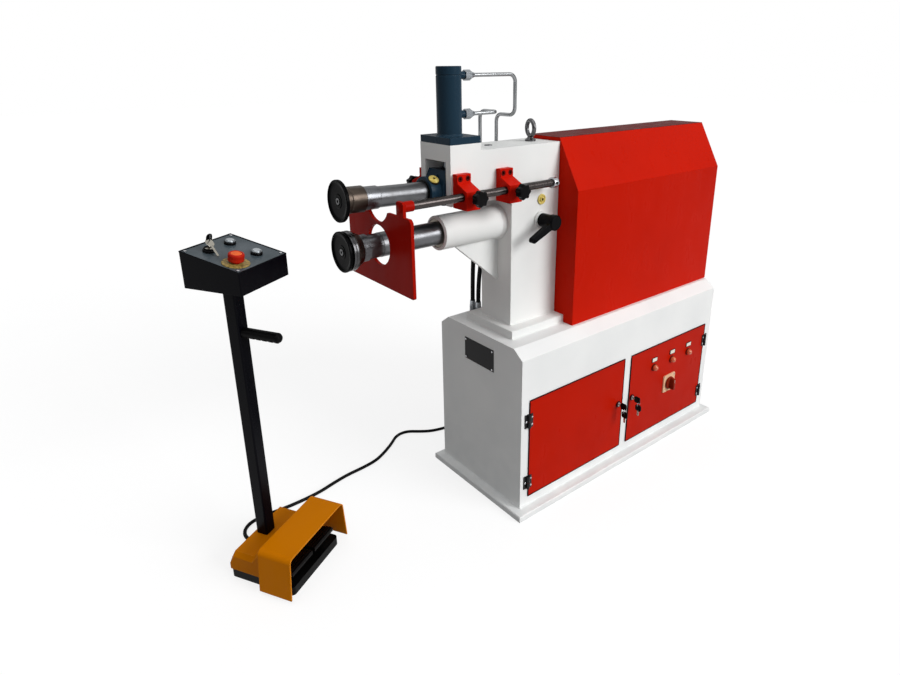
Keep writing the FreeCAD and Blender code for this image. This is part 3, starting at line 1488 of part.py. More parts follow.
save("foot_base", at_station(foot_base.removeSplitter()))


# Foot switch housing
# One moulding: a low housing at the back that carries the post, and a broad hood
# that keeps the pedals from being stepped on by mistake.
hood_bend = 18.0
dome_rise = 28.0
dome_bevel = 16.5
dome_back_top = 62.0
dome_edge = 12.0
dome_edge_drop = 14.0


def hood_section(inset, depth_front, depth_back, low):
    slope = (hood_half_bottom - hood_half_top) / (hood_top - hood_bottom)
    half_low = hood_half_bottom + slope * (hood_bottom - low) - inset
    half_high = hood_half_top - inset
    high = hood_top - inset
    face = face_of([
        V(-half_low, depth_front, low), V(half_low, depth_front, low),
        V(half_high, depth_front, high), V(-half_high, depth_front, high)
    ])
    solid = face.extrude(V(0, depth_back - depth_front, 0))
    return rounded(
        solid, hood_bend - inset,
        lambda middle, edge: middle.z > high - 0.1 and abs(edge.tangentAt(edge.FirstParameter).y) > 0.9
    )


def dome_wire(w, high):
    """The housing's outline across at one depth, with bevelled upper edges."""
    corners = [
        V(-foot_half_u, w, foot_base_height), V(foot_half_u, w, foot_base_height),
        V(foot_half_u, w, high - dome_edge_drop), V(foot_half_u - dome_edge, w, high),
        V(dome_edge - foot_half_u, w, high), V(-foot_half_u, w, high - dome_edge_drop)
    ]
    return Part.makePolygon(corners + corners[:1])


hood = hood_section(0.0, hood_front, hood_back, hood_bottom)
hood_hollow = hood_section(hood_wall, hood_front - 1.0, hood_back - hood_wall, hood_bottom - 1.0)
hood = hood.cut(hood_hollow)
hood = hood.cut(
    block(
        -foot_half_u - 0.5, foot_half_u + 0.5, hood_back - hood_wall - 1.0, hood_back + 1.0,
        hood_bottom - 1.0, foot_base_height
    )
)
dome_steps = [
    (hood_back - hood_wall, hood_top - 5.0), (hood_back, hood_top - 5.0), (dome_rise, dome_top),
    (foot_half_w - dome_bevel, dome_top), (foot_half_w, dome_back_top)
]
dome = Part.makeLoft([dome_wire(w, high) for w, high in dome_steps], True, True)
foot_housing = fused(hood, dome)
pin_room = block(
    -foot_half_u + housing_wall, foot_half_u - housing_wall, hood_back - hood_wall - 1.0, pedal_pin_w + 12.0,
    foot_base_height - 1.0, 105.0
)
foot_housing = foot_housing.cut(pin_room)
save("foot_housing", at_station(foot_housing.removeSplitter()))


# Pedals
# Two ribbed rockers under the hood, hinged at the back on the base's pin.
pedal_front = -106.0
pedal_rise = 20.0
pedal_thick = 9.0
pedal_left = lug_width / 2.0 + pedal_gap
pedal_right = lug_half_span - lug_width - pedal_gap
rib_count = 9


def pedal(u0, u1):
    length = pedal_pin_w - pedal_front
    profile = [(pedal_pin_w + 2.0, pedal_pin_z + pedal_thick / 2.0 + 1.5)]
    for i in range(rib_count):
        near = (i + 0.15) / rib_count
        far = (i + 0.75) / rib_count
        for share, height in ((near, 0.0), (near, 2.5), (far, 2.5), (far, 0.0)):
            profile.append((pedal_pin_w - 4.0 - share * (length - 8.0),
                            pedal_pin_z + pedal_thick / 2.0 + 1.5 + share * pedal_rise + height))
    profile += [
        (pedal_front, pedal_pin_z + pedal_thick / 2.0 + 1.5 + pedal_rise),
        (pedal_front - 2.0, pedal_pin_z + pedal_rise),
        (pedal_front, pedal_pin_z - pedal_thick / 2.0 + pedal_rise - 4.0),
        (pedal_front + 6.0, pedal_pin_z - pedal_thick / 2.0 + pedal_rise),
        (pedal_pin_w, pedal_pin_z - pedal_thick / 2.0)
    ]
    plate = prism_x(profile, u0, u1)
    eye_part = x_cylinder(7.5, u0, u1, pedal_pin_w, pedal_pin_z)
    bore = x_cylinder(pedal_pin_radius + shaft_fit, u0 - 1.0, u1 + 1.0, pedal_pin_w, pedal_pin_z)
    return at_station(fused(plate, eye_part).cut(bore))


save("left_pedal", pedal(-pedal_right, -pedal_left))
save("right_pedal", pedal(pedal_left, pedal_right))


# Post
# A square tube with rounded corners from the foot switch up to the control box.
post_wall = 3.0
post = block(
    -post_side / 2.0, post_side / 2.0, post_w - post_side / 2.0, post_w + post_side / 2.0,
    dome_top, console_bottom
)
post = rounded(post, 5.0, lambda middle, edge: abs(edge.tangentAt(edge.FirstParameter).z) > 0.9)
post_inner = post_side / 2.0 - post_wall
post = post.cut(
    block(
        -post_inner, post_inner, post_w - post_inner, post_w + post_inner,
        dome_top - 1.0, console_bottom + 1.0
    )
)
save("post_tube", at_station(post))


# Hand grip
# A round grip with finger grooves on its under side.
grip_radius = 15.0
grip_root = post_w - post_side / 2.0
grip_length = 125.0
grip = turned_y(
    [(grip_root, 0.0), (grip_root, grip_radius), (grip_root - grip_length + 8.0, grip_radius),
     (grip_root - grip_length + 2.0, grip_radius - 4.0), (grip_root - grip_length, grip_radius - 9.0),
     (grip_root - grip_length, 0.0)],
    0.0, grip_z
)
for i in range(5):
    groove = Part.makeTorus(grip_radius + 5.0, 7.0, V(0.0, grip_root - 22.0 - 21.0 * i, grip_z), V(0, 1, 0))
    groove = groove.common(
        block(-40.0, 40.0, grip_root - grip_length - 10.0, grip_root, grip_z - 40.0, grip_z - 3.0)
    )
    grip = grip.cut(groove)
save("hand_grip", at_station(grip))


# Control box
# A sheet box with a sloping top that is closed by a screwed panel.
panel_thick = 3.0
low_top = console_top - console_slope * console_half_w
high_top = console_top + console_slope * console_half_w
box_wall = 3.0
rim_drop = panel_thick * math.sqrt(1.0 + console_slope ** 2)


def console_prism(inset, bottom, raise_top):
    front_edge = inset - console_half_w
    back_edge = console_half_w - inset
    return face_of([
        V(inset - console_half_u, front_edge, bottom), V(inset - console_half_u, back_edge, bottom),
        V(inset - console_half_u, back_edge, high_top - console_slope * inset + raise_top),
        V(inset - console_half_u, front_edge, low_top + console_slope * inset + raise_top)
    ]).extrude(V(2.0 * (console_half_u - inset), 0, 0))


console = console_prism(0.0, console_bottom, 0.0)
console = rounded(
    console, 4.0,
    lambda middle, edge: abs(edge.tangentAt(edge.FirstParameter).z) > 0.9
)
console = console.cut(console_prism(box_wall, console_bottom + box_wall, 20.0))
screw_reach = 85.0
for u in (-screw_reach, screw_reach):
    for w in (-screw_reach, screw_reach):
        pillar_top = console_top + console_slope * w - rim_drop - 3.0
        pillar = z_cylinder(7.0, console_bottom + box_wall, pillar_top, u, w)
        console = console.fuse(pillar)
console = console.removeSplitter()
console.translate(V(0.0, console_w, 0.0))
save("console_box", at_station(console))


# Control panel
# It lies inside the box's rim and has a hole for every switch.
panel_drop = 0.6
panel_top = -panel_drop
panel_half_u = console_half_u - box_wall - moving_gap
tilt_sine = math.sin(math.radians(console_tilt))
panel_room = console_half_w - box_wall - 2.0 * moving_gap - (panel_drop + panel_thick) * tilt_sine
panel_half_v = panel_room / math.cos(math.radians(console_tilt))
key_u = -42.0
key_v = 47.0
button_a_u = 39.0
button_a_v = 48.0
button_b_u = 34.5
button_b_v = -45.0
stop_u = -51.0
stop_v = -49.0
panel = block(-panel_half_u, panel_half_u, -panel_half_v, panel_half_v, panel_top - panel_thick, panel_top)
switch_bore = 11.0 + moving_gap
for u, v in ((key_u, key_v), (button_a_u, button_a_v), (button_b_u, button_b_v), (stop_u, stop_v)):
    panel = panel.cut(z_cylinder(switch_bore, panel_top - panel_thick - 1.0, panel_top + 1.0, u, v))
for u in (-screw_reach, screw_reach):
    for v in (-screw_reach, screw_reach):
        panel = panel.fuse(z_cylinder(4.0, panel_top, panel_top + 2.0, u, v))
        panel = panel.fuse(z_cylinder(2.5, panel_top - panel_thick - 1.8, panel_top, u, v))
save("console_panel", on_panel(panel))


# Switch collars
# Black collars round the buttons and the key, and the yellow disc of the stop button.
collar_height = 9.0
collars = []
for u, v in ((key_u, key_v), (button_a_u, button_a_v), (button_b_u, button_b_v)):
    ring = turned_z(
        [(switch_bore, panel_top), (15.0, panel_top), (15.0, panel_top + 5.0),
         (13.5, panel_top + collar_height),
         (switch_bore, panel_top + collar_height)], u, v
    )
    collars.append(ring)
disc_radius = 35.5
disc = turned_z(
    [(switch_bore, panel_top), (disc_radius, panel_top), (disc_radius, panel_top + 2.0),
     (switch_bore, panel_top + 2.0)],
    stop_u, stop_v
)
collars.append(disc)
save("switch_collars", on_panel(group(*collars)))


# Push buttons
# Two bright buttons that stand above their collars and go down on a spring.
button_radius = 11.0
button_top = panel_top + collar_height + 4.0
contact_depth = 26.0


def push_button(u, v):
    return on_panel(
        turned_z(
            [(0.0, panel_top - contact_depth), (8.0, panel_top - contact_depth), (8.0, panel_top - 6.0),
             (button_radius, panel_top - 5.0), (button_radius, button_top - 1.0),
             (button_radius - 1.0, button_top),
             (0.0, button_top)], u, v
        )
    )


save("left_button", push_button(button_a_u, button_a_v))
save("right_button", push_button(button_b_u, button_b_v))


# Stop button
# A red mushroom head on a stem through the yellow disc.
stop_radius = 20.0
stop_button = turned_z(
    [(0.0, panel_top - contact_depth), (8.0, panel_top - contact_depth), (8.0, panel_top - 6.0),
     (button_radius, panel_top - 5.0), (button_radius, panel_top + 9.0),
     (stop_radius - 3.0, panel_top + 10.0),
     (stop_radius, panel_top + 14.0), (stop_radius, panel_top + 21.0), (stop_radius - 2.0, panel_top + 25.0),
     (stop_radius - 8.0, panel_top + 28.0), (0.0, panel_top + 29.0)],
    stop_u, stop_v
)
save("estop_button", on_panel(stop_button))


# Switch key
# The key in its plug, with a ring that carries a second key down to the panel.
key_top = panel_top + collar_height - 1.0
plug = turned_z(
    [(0.0, panel_top - contact_depth), (8.0, panel_top - contact_depth), (8.0, panel_top - 6.0),
     (button_radius, panel_top - 5.0), (button_radius, key_top), (0.0, key_top)], key_u, key_v
)
blade = block(key_u - 3.5, key_u + 3.5, key_v - 1.2, key_v + 1.2, key_top - 1.0, key_top + 10.0)
bow = cylinder(10.5, V(key_u, key_v - 1.2, key_top + 18.0), V(key_u, key_v + 1.2, key_top + 18.0))
bow = bow.cut(cylinder(3.0, V(key_u, key_v - 2.0, key_top + 22.0), V(key_u, key_v + 2.0, key_top + 22.0)))
ring_centre = V(key_u + 8.0, key_v - 2.0, key_top + 21.0)
key_ring = Part.makeTorus(9.0, 0.9, ring_centre, V(0.35, 1.0, 0.0))
spare_top = ring_centre + V(9.0, -3.5, 0.0)
spare_end = V(key_u + 25.0, key_v - 30.0, panel_top + 2.0)
spare_axis = (spare_end - spare_top).normalize()
spare = cylinder(2.6, spare_top, spare_end)
spare_bow = Part.makeSphere(5.0, spare_top + spare_axis * 3.0)
key = fused(plug, blade, bow, key_ring, spare_bow, spare)
save("switch_key", on_panel(key))


# Floor cord and its glands
# The cord leaves the foot switch at the back, lies in loose curves on the floor and
# enters the cabinet low on its back wall.
gland_length = 14.0
gland_u = 12.0
foot_gland_z = 14.0
yaw = math.radians(station_yaw)
u_axis = V(math.cos(yaw), math.sin(yaw), 0.0)
w_axis = V(-math.sin(yaw), math.cos(yaw), 0.0)
station_base = V(station_x, station_y, 0.0)
foot_exit = station_base + u_axis * gland_u + w_axis * foot_half_w + V(0.0, 0.0, foot_gland_z)
foot_gland_end = foot_exit + w_axis * gland_length
cabinet_exit = V(cord_gland_x, cabinet_half_depth, cord_gland_z)
cabinet_gland_end = cabinet_exit + V(0.0, gland_length, 0.0)


def gland(start, direction):
    nut_length = 6.0
    nut = hexagon_bar(20.0, start, start + direction * nut_length)
    sleeve_start = start + direction * nut_length
    sleeve = Part.makeCone(9.5, cord_radius + 1.0, gland_length - nut_length, sleeve_start, direction)
    return fused(nut, sleeve)


save("cord_glands", group(gland(foot_exit, w_axis), gland(cabinet_exit, V(0, 1, 0))))

cord_z = floor_z + cord_radius
cord_points = [
    foot_gland_end,
    foot_gland_end + w_axis * 29.5,
    V(-1336.0, 265.0, cord_z + 6.5),
    V(-1326.9, 293.0, cord_z + 4.0),
    V(-1307.2, 314.9, cord_z + 1.5),
    V(-1280.2, 326.9, cord_z),
    V(-1232.0, 326.5, cord_z),
    V(-1150.0, 318.5, cord_z),
    V(-1047.8, 322.3, cord_z),
    V(-980.7, 338.7, cord_z),
    V(-912.7, 351.8, cord_z),
    V(-846.7, 354.0, cord_z),
    V(-785.1, 362.3, cord_z),
    V(-739.4, 382.3, cord_z),
    V(-676.0, 421.0, cord_z),
    V(-624.8, 463.0, cord_z),
    V(-573.1, 463.0, cord_z),
    V(-527.7, 423.0, cord_z),
    V(-486.0, 395.7, cord_z),
    V(-433.7, 382.1, cord_z),
    V(-382.0, 372.0, cord_z),
    V(-346.0, 340.0, cord_z + 14.0),
    cabinet_gland_end + V(0.0, 54.0, 0.0),
    cabinet_gland_end
]
save("floor_cord", bent_tube(cord_points, cord_radius))
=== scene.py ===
import bmesh
import bpy
import numpy as np
from math import cos, pi, radians, sin
from mathutils import Matrix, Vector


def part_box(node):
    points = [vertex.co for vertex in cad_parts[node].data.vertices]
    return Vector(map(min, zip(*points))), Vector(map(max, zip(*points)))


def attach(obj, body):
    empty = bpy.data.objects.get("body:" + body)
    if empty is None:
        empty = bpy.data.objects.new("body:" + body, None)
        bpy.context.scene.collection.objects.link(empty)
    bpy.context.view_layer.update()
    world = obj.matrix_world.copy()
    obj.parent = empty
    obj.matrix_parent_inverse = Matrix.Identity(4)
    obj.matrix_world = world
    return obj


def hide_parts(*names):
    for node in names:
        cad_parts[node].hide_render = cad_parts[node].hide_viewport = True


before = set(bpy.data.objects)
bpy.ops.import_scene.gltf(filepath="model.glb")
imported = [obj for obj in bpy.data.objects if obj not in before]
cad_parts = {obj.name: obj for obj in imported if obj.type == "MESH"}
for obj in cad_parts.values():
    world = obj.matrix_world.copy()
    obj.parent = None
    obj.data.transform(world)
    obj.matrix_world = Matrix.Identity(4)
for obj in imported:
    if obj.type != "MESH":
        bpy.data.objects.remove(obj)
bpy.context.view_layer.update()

# Floor, light and camera
# The machine stands on a plain white floor under soft studio light. The camera stands at
# the operator's left, above head height, and looks down on the machine.


def tone(red, green, blue):
    """A display colour from 0 to 255 as linear light: ((c + 0.055) / 1.055) to the power 2.4."""
    shown = np.array([red, green, blue]) / 255.0
    linear = np.where(shown <= 0.04045, shown / 12.92, ((shown + 0.055) / 1.055) ** 2.4)
    return (*linear.tolist(), 1.0)


def feed(socket, value):
    """A link from another node's output, or a plain number or colour."""
    if isinstance(value, bpy.types.NodeSocket):
        socket.id_data.links.new(value, socket)
    else:
        socket.default_value = value


def add_node(tree, kind, inputs, **settings):
    """A new node with these inputs and settings. Gives its outputs."""
    node = tree.nodes.new("ShaderNode" + kind)
    for key, value in settings.items():
        setattr(node, key, value)
    for key, value in inputs.items():
        feed(node.inputs[key], value)
    return node.outputs


class Finish:
    """A material on Object coordinates. Its methods add nodes and give their outputs."""

    def __init__(self, name, slot, colour, roughness, metal=0.0, coat=0.0, gloss=0.5):
        self.material = bpy.data.materials.new(name)
        self.material["slot"] = slot
        self.material.use_nodes = True
        self.shader = self.material.node_tree.nodes["Principled BSDF"]
        for key, value in (
            ("Base Color", colour), ("Roughness", roughness), ("Metallic", metal),
            ("Coat Weight", coat), ("Coat Roughness", 0.12), ("Specular IOR Level", gloss)
        ):
            self.shader.inputs[key].default_value = value
        self.place = self.add("TexCoord", {})["Object"]

    def add(self, kind, inputs, **settings):
        """A new node of this material."""
        return add_node(self.material.node_tree, kind, inputs, **settings)

    def stretched(self, scale):
        """The place, with each axis multiplied by its own number."""
        return self.add("Mapping", {"Vector": self.place, "Scale": scale})["Vector"]

    def noise(self, scale, detail=2.0, place=None, roughness=0.5):
        """Cloudy noise from 0 to 1 with this many clouds to the metre."""
        return self.add("TexNoise", {
            "Vector": place or self.place, "Scale": scale, "Detail": detail, "Roughness": roughness
        })["Fac"]

    def spread(self, value, low, high, to_low=0.0, to_high=1.0):
        """The value's range from low to high, carried over to another range."""
        return self.add("MapRange", {
            "Value": value, "From Min": low, "From Max": high, "To Min": to_low, "To Max": to_high
        })["Result"]

    def combined(self, kind, first, second):
        """Two values multiplied, added, or the larger of both, as the kind says."""
        return self.add("Math", {0: first, 1: second}, operation=kind)["Value"]

    def mixed(self, amount, first, second):
        """A colour that goes from the first to the second as amount goes from 0 to 1."""
        return self.add("Mix", {"Factor": amount, 6: first, 7: second}, data_type="RGBA")[2]

    def height(self):
        """The height above the floor."""
        return self.add("SeparateXYZ", {"Vector": self.place})["Z"]

    def edge(self, width):
        """1 on a sharp edge and 0 on a flat face: 1 less the product of the face's own
        direction and the direction averaged over the width."""
        averaged = self.add("Bevel", {"Radius": width})["Normal"]
        plain = self.add("NewGeometry", {})["Normal"]
        product = self.add("VectorMath", {0: averaged, 1: plain}, operation="DOT_PRODUCT")
        return self.spread(product["Value"], 0.99, 0.8)

    def relief(self, height, depth, edge_radius=0.0):
        """Bumps of this depth in metres, over edges that look rounded by the radius."""
        inputs = {"Height": height, "Strength": 1.0, "Distance": depth}
        if edge_radius:
            inputs["Normal"] = self.add("Bevel", {"Radius": edge_radius})["Normal"]
        feed(self.shader.inputs["Normal"], self.add("Bump", inputs)["Normal"])

    def show(self, colour, roughness=None):
        """The finished material, with its colour and roughness fed to the shader."""
        feed(self.shader.inputs["Base Color"], colour)
        if roughness is not None:
            feed(self.shader.inputs["Roughness"], roughness)
        return self.material


floor_paint = Finish("studio_floor", "", tone(149, 149, 149), 0.8, gloss=0.0)
floor_paint.show(
    floor_paint.mixed(floor_paint.noise(2.0), tone(148, 148, 148), tone(152, 152, 152))
)
rays = floor_paint.add("LightPath", {})
seen = floor_paint.combined("MAXIMUM", rays["Is Camera Ray"], rays["Is Glossy Ray"])
seen = floor_paint.combined("MAXIMUM", seen, rays["Is Transmission Ray"])
white, white_strength = (1.0, 1.0, 1.0, 1.0), 0.76
floor_paint.shader.inputs["Emission Color"].default_value = white
white_glow = floor_paint.combined("MULTIPLY", seen, white_strength)
feed(floor_paint.shader.inputs["Emission Strength"], white_glow)
floor_half, floor_cells = 24.0, 8
floor_line = np.linspace(-floor_half, floor_half, floor_cells + 1)
floor_x, floor_y = np.meshgrid(floor_line, floor_line, indexing="ij")
floor_points = np.stack([floor_x, floor_y, np.zeros_like(floor_x)], axis=-1).reshape(-1, 3)
i, j = np.meshgrid(np.arange(floor_cells), np.arange(floor_cells), indexing="ij")
first_corner = i * (floor_cells + 1) + j
floor_faces = np.stack(
    [first_corner, first_corner + floor_cells + 1, first_corner + floor_cells + 2,
     first_corner + 1], axis=-1
)
floor_mesh = bpy.data.meshes.new("studio_floor")
floor_mesh.from_pydata(floor_points.tolist(), [], floor_faces.reshape(-1, 4).tolist())
floor_mesh.materials.append(floor_paint.material)
studio_floor = bpy.data.objects.new("studio_floor", floor_mesh)
bpy.context.collection.objects.link(studio_floor)

# The room is white to the camera and through glass, a soft box in reflections, and pale grey
# for all other light.
world = bpy.data.worlds.new("studio")
bpy.context.scene.world = world
world.use_nodes = True
room = world.node_tree
rays = add_node(room, "LightPath", {})
room_place = add_node(room, "TexCoord", {})["Generated"]
room_height = add_node(room, "SeparateXYZ", {"Vector": room_place})["Z"]
soft_box = add_node(room, "ValToRGB", {"Fac": room_height})["Color"]
levels = soft_box.node.color_ramp.elements
for end, level in ((0, 0.62), (1, 1.0)):
    levels[end].position = end
    levels[end].color = (level, level, level, 1.0)
for position, level in ((0.12, 0.2), (0.34, 0.24), (0.45, 1.0), (0.7, 1.0), (0.82, 0.55)):
    levels.new(position).color = (level, level, level, 1.0)
reflected = add_node(
    room, "Mix", {"Factor": rays["Is Glossy Ray"], 6: (0.3, 0.303, 0.306, 1.0), 7: soft_box},
    data_type="RGBA"
)[2]
seen = add_node(
    room, "Math", {0: rays["Is Camera Ray"], 1: rays["Is Transmission Ray"]}, operation="MAXIMUM"
)["Value"]
shown = add_node(room, "Mix", {"Factor": seen, 6: reflected, 7: white}, data_type="RGBA")[2]
feed(room.nodes["Background"].inputs["Color"], shown)
room.nodes["Background"].inputs["Strength"].default_value = 1.0


def lamp(name, strength, width, towards):
    """A soft sun whose light travels in the direction given. Its width is in degrees."""
    light = bpy.data.lights.new(name, "SUN")
    light.energy = strength
    light.angle = radians(width)
    holder = bpy.data.objects.new(name, light)
    back = -np.array(towards) / np.linalg.norm(towards)
    side = np.cross([0.0, 1.0, 0.01], back)
    side /= np.linalg.norm(side)
    rise = np.cross(back, side)
    holder.matrix_world = Matrix(np.column_stack([side, rise, back]).tolist()).to_4x4()
    bpy.context.collection.objects.link(holder)


lamp("front_lamp", 2.35, 35.0, (-0.42, 0.85, -0.38))
lamp("top_lamp", 0.78, 60.0, (0.05, 0.15, -1.0))

photo_width, photo_height = 900.0, 675.0
focal_pixels = 629.9
centre_x, centre_y = 474.2, 281.4
eye = np.array([-1.7984, -1.5395, 1.4827])
yaw, pitch, roll = radians(38.62), radians(19.04), radians(0.42)
ahead = np.array([sin(yaw) * cos(pitch), cos(yaw) * cos(pitch), -sin(pitch)])
right = np.array([cos(yaw), -sin(yaw), 0.0])
down = np.cross(ahead, right)
lens = bpy.data.cameras.new("camera")
lens.sensor_width = 36.0
lens.lens = focal_pixels / photo_width * lens.sensor_width
lens.shift_x = (photo_width / 2.0 - centre_x) / photo_width
lens.shift_y = (centre_y - photo_height / 2.0) / photo_width
lens.clip_end = 100.0
camera = bpy.data.objects.new("camera", lens)
turned_view = np.eye(4)
turned_view[:3, 0] = cos(roll) * right + sin(roll) * down
turned_view[:3, 1] = sin(roll) * right - cos(roll) * down
turned_view[:3, 2] = -ahead
turned_view[:3, 3] = eye
camera.matrix_world = Matrix(turned_view.tolist())
bpy.context.collection.objects.link(camera)
bpy.context.scene.camera = camera
bpy.context.scene.view_settings.view_transform = "Standard"

# Base plate
# A thick steel plate under the cabinet, painted white with it. The enamel has a fine orange
# peel, is rubbed along the edges, and is a little greyer near the floor. The cabinet is
# welded to it all round.


def dress(material, *names):
    """Give every material slot of these CAD nodes the finish."""
    for name in names:
        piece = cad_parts[name]
        for place in piece.material_slots:
            place.material = material
        if not piece.material_slots:
            piece.data.materials.append(material)


def paint(name, slot, colour, shade, edge_wear_and_light, roughness=0.36, peel=0.00005, low=None, gloss=0.05,
          edge=0.0016, edge_start=0.42, painted_roof_shade=None):
    """Sprayed enamel: broad soft patches drift towards the shade, and below the height low the
    colour drifts to the shade. Sharp edges take the edge colour where a cloud of noise passes
    its start: worn paint on most finishes, painted edge shade on the doors and a painted edge
    highlight on the rolls and the hood. painted_roof_shade is a height and a duller colour,
    painted from there up as shade."""
    colour, shade, edge_wear_and_light = tone(*colour), tone(*shade), tone(*edge_wear_and_light)
    finish = Finish(name, slot, colour, roughness, gloss=gloss)
    broad = finish.spread(finish.noise(4.0, 3.0), 0.4, 0.7)
    cover = finish.mixed(finish.combined("MULTIPLY", broad, 0.5), colour, shade)
    if low:
        near_floor = finish.spread(finish.height(), low, 0.0)
        cloud = finish.spread(finish.noise(18.0, 5.0), 0.3, 0.75)
        cover = finish.mixed(finish.combined("MULTIPLY", near_floor, cloud), cover, shade)
    # Painted shade: from just below the roof's height up, the colour turns to the duller one given.
    if painted_roof_shade:
        level, dull = painted_roof_shade
        over = finish.spread(finish.height(), level - 0.0015, level - 0.0005)
        cover = finish.mixed(over, cover, tone(*dull))
    # Edge colour: worn paint on most finishes; painted edge shade on the doors, painted edge
    # highlights on the rolls and the foot switch hood.
    handled = finish.spread(finish.noise(55.0, 4.0), edge_start, edge_start + 0.28)
    edge_wear_and_light_mask = finish.combined("MULTIPLY", finish.edge(edge), handled)
    cover = finish.mixed(finish.combined("MULTIPLY", edge_wear_and_light_mask, 0.8), cover, edge_wear_and_light)
    finish.relief(finish.noise(420.0, 2.0), peel, 0.0016)
    smears = finish.noise(26.0, 4.0, finish.stretched((1.0, 1.0, 0.35)))
    return finish.show(cover, finish.spread(smears, 0.3, 0.7, roughness - 0.06, roughness + 0.1))


def skin(name, rings, material, body, sharp=40.0, closed=False):
    """A closed tube: point j of ring i joins point j + 1 and ring i + 1. Each end is closed
    by one face, or by a pole where its ring has shrunk to a point. Where the rings close on
    themselves, the last one joins the first."""
    rings = np.asarray(rings, dtype=float)
    count, around = rings.shape[:2]
    i, j = np.meshgrid(np.arange(count if closed else count - 1), np.arange(around), indexing="ij")
    after = (i + 1) % count
    k = (j + 1) % around
    corners = [i * around + j, i * around + k, after * around + k, after * around + j]
    faces = np.stack(corners, axis=-1).reshape(-1, 4).tolist()
    if not closed:
        faces.append(np.arange(around)[::-1].tolist())
        faces.append(np.arange((count - 1) * around, count * around).tolist())
    mesh = bpy.data.meshes.new(name)
    mesh.from_pydata(rings.reshape(-1, 3).tolist(), [], faces)
    work = bmesh.new()
    work.from_mesh(mesh)
    bmesh.ops.remove_doubles(work, verts=work.verts, dist=1e-6)
    bmesh.ops.recalc_face_normals(work, faces=work.faces)
    work.to_mesh(mesh)
    work.free()
    mesh.shade_smooth()
    mesh.set_sharp_from_angle(angle=radians(sharp))
    mesh.materials.append(material)
    piece = bpy.data.objects.new(name, mesh)
    bpy.context.collection.objects.link(piece)
    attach(piece, body)
    return piece


def seam(name, corners, radius, ripple, material, body="machine", step=0.0013):
    """A weld bead: a round section carried along straight runs. Its radius is the bead's
    plus a ripple, sin of the way along over 2.6 mm, and it sits half in the metal."""
    corners = np.asarray(corners, dtype=float)
    run = np.linalg.norm(np.diff(corners, axis=0), axis=1)
    way = np.concatenate([[0.0], np.cumsum(run)])
    along = np.unique(np.concatenate([way, np.linspace(0.0, way[-1], int(way[-1] / step))]))
    middle = np.stack([np.interp(along, way, corners[:, k]) for k in range(3)], axis=-1)
    ahead_step = np.gradient(middle, axis=0)
    ahead_step /= np.linalg.norm(ahead_step, axis=1, keepdims=True)
    guide = np.where(np.abs(ahead_step[:, 2:]) < 0.9, [[0.0, 0.0, 1.0]], [[1.0, 0.0, 0.0]])
    first = np.cross(guide, ahead_step)
    first /= np.linalg.norm(first, axis=1, keepdims=True)
    second = np.cross(ahead_step, first)
    angle = np.linspace(0.0, 2.0 * pi, 8, endpoint=False)[None, :, None]
    thick = radius + ripple * np.sin(along * 2.0 * pi / 0.0026)
    rings = middle[:, None] + thick[:, None, None] * (
        np.cos(angle) * first[:, None] + np.sin(angle) * second[:, None]
    )
    return skin(name, rings, material, body, 60.0)


def round_trip(a0, a1, b0, b1):
    """The four corners of a rectangle, and the first one again."""
    return (a0, b0), (a1, b0), (a1, b1), (a0, b1), (a0, b0)


def frame_line(x0, x1, y0, y1, z):
    """A level rectangle's round trip at one height."""
    return [(x, y, z) for x, y in round_trip(x0, x1, y0, y1)]


white_enamel = paint(
    "white_enamel", "white_paint", (240, 241, 240), (226, 228, 228), (198, 201, 203), low=0.35,
    gloss=0.12
)
dress(white_enamel, "base_plate")
base_top = 0.021
cabinet_half_length, cabinet_half_depth = 0.549, 0.219
seam(
    "cabinet_seam",
    frame_line(-cabinet_half_length, cabinet_half_length, -cabinet_half_depth,
               cabinet_half_depth, base_top),
    0.0026, 0.0003, white_enamel
)

# Cabinet
# Folded steel sheet, chamfered along the top, in the same white enamel. Behind the doors it
# is open, with a divider, and a bare black name plate is riveted on its left end.
dress(white_enamel, "cabinet_shell")
plate_black = Finish("plate_black", "plate_black", tone(10, 10, 12), 0.34, gloss=0.1)
plate_streaks = plate_black.noise(90.0, 3.0, plate_black.stretched((1.0, 1.0, 14.0)))
plate_black.relief(plate_streaks, 0.00003, 0.0008)
plate_finish = plate_black.show(
    plate_black.mixed(plate_streaks, tone(6, 6, 8), tone(22, 20, 24)),
    plate_black.spread(plate_streaks, 0.3, 0.7, 0.28, 0.42)
)
dress(plate_finish, "nameplate")


def steel(name, slot, bright, dull, roughness=0.24, lines=(420.0, 3.0, 3.0), depth=0.000012,
          stain=0.4):
    """Machined steel: fine tool lines across the stretched axis, and duller patches where
    it has been handled."""
    bright, dull = tone(*bright), tone(*dull)
    finish = Finish(name, slot, bright, roughness, metal=1.0)
    tool = finish.noise(1.0, 3.0, finish.stretched(lines), 0.7)
    patches = finish.spread(finish.noise(22.0, 4.0), 0.4, 0.72)
    finish.relief(tool, depth, 0.0006)
    rough = finish.spread(tool, 0.3, 0.7, roughness - 0.04, roughness + 0.06)
    return finish.show(
        finish.mixed(finish.combined("MULTIPLY", patches, stain), bright, dull),
        finish.combined("ADD", rough, finish.combined("MULTIPLY", patches, 0.08))
    )


def square_to(axis):
    """The axis made one long, and two directions at right angles to it and to each other."""
    axis = np.asarray(axis, dtype=float) / np.linalg.norm(axis)
    guide = np.array([0.0, 0.0, 1.0]) if abs(axis[2]) < 0.9 else np.array([1.0, 0.0, 0.0])
    first = np.cross(guide, axis)
    first /= np.linalg.norm(first)
    return axis, first, np.cross(axis, first)


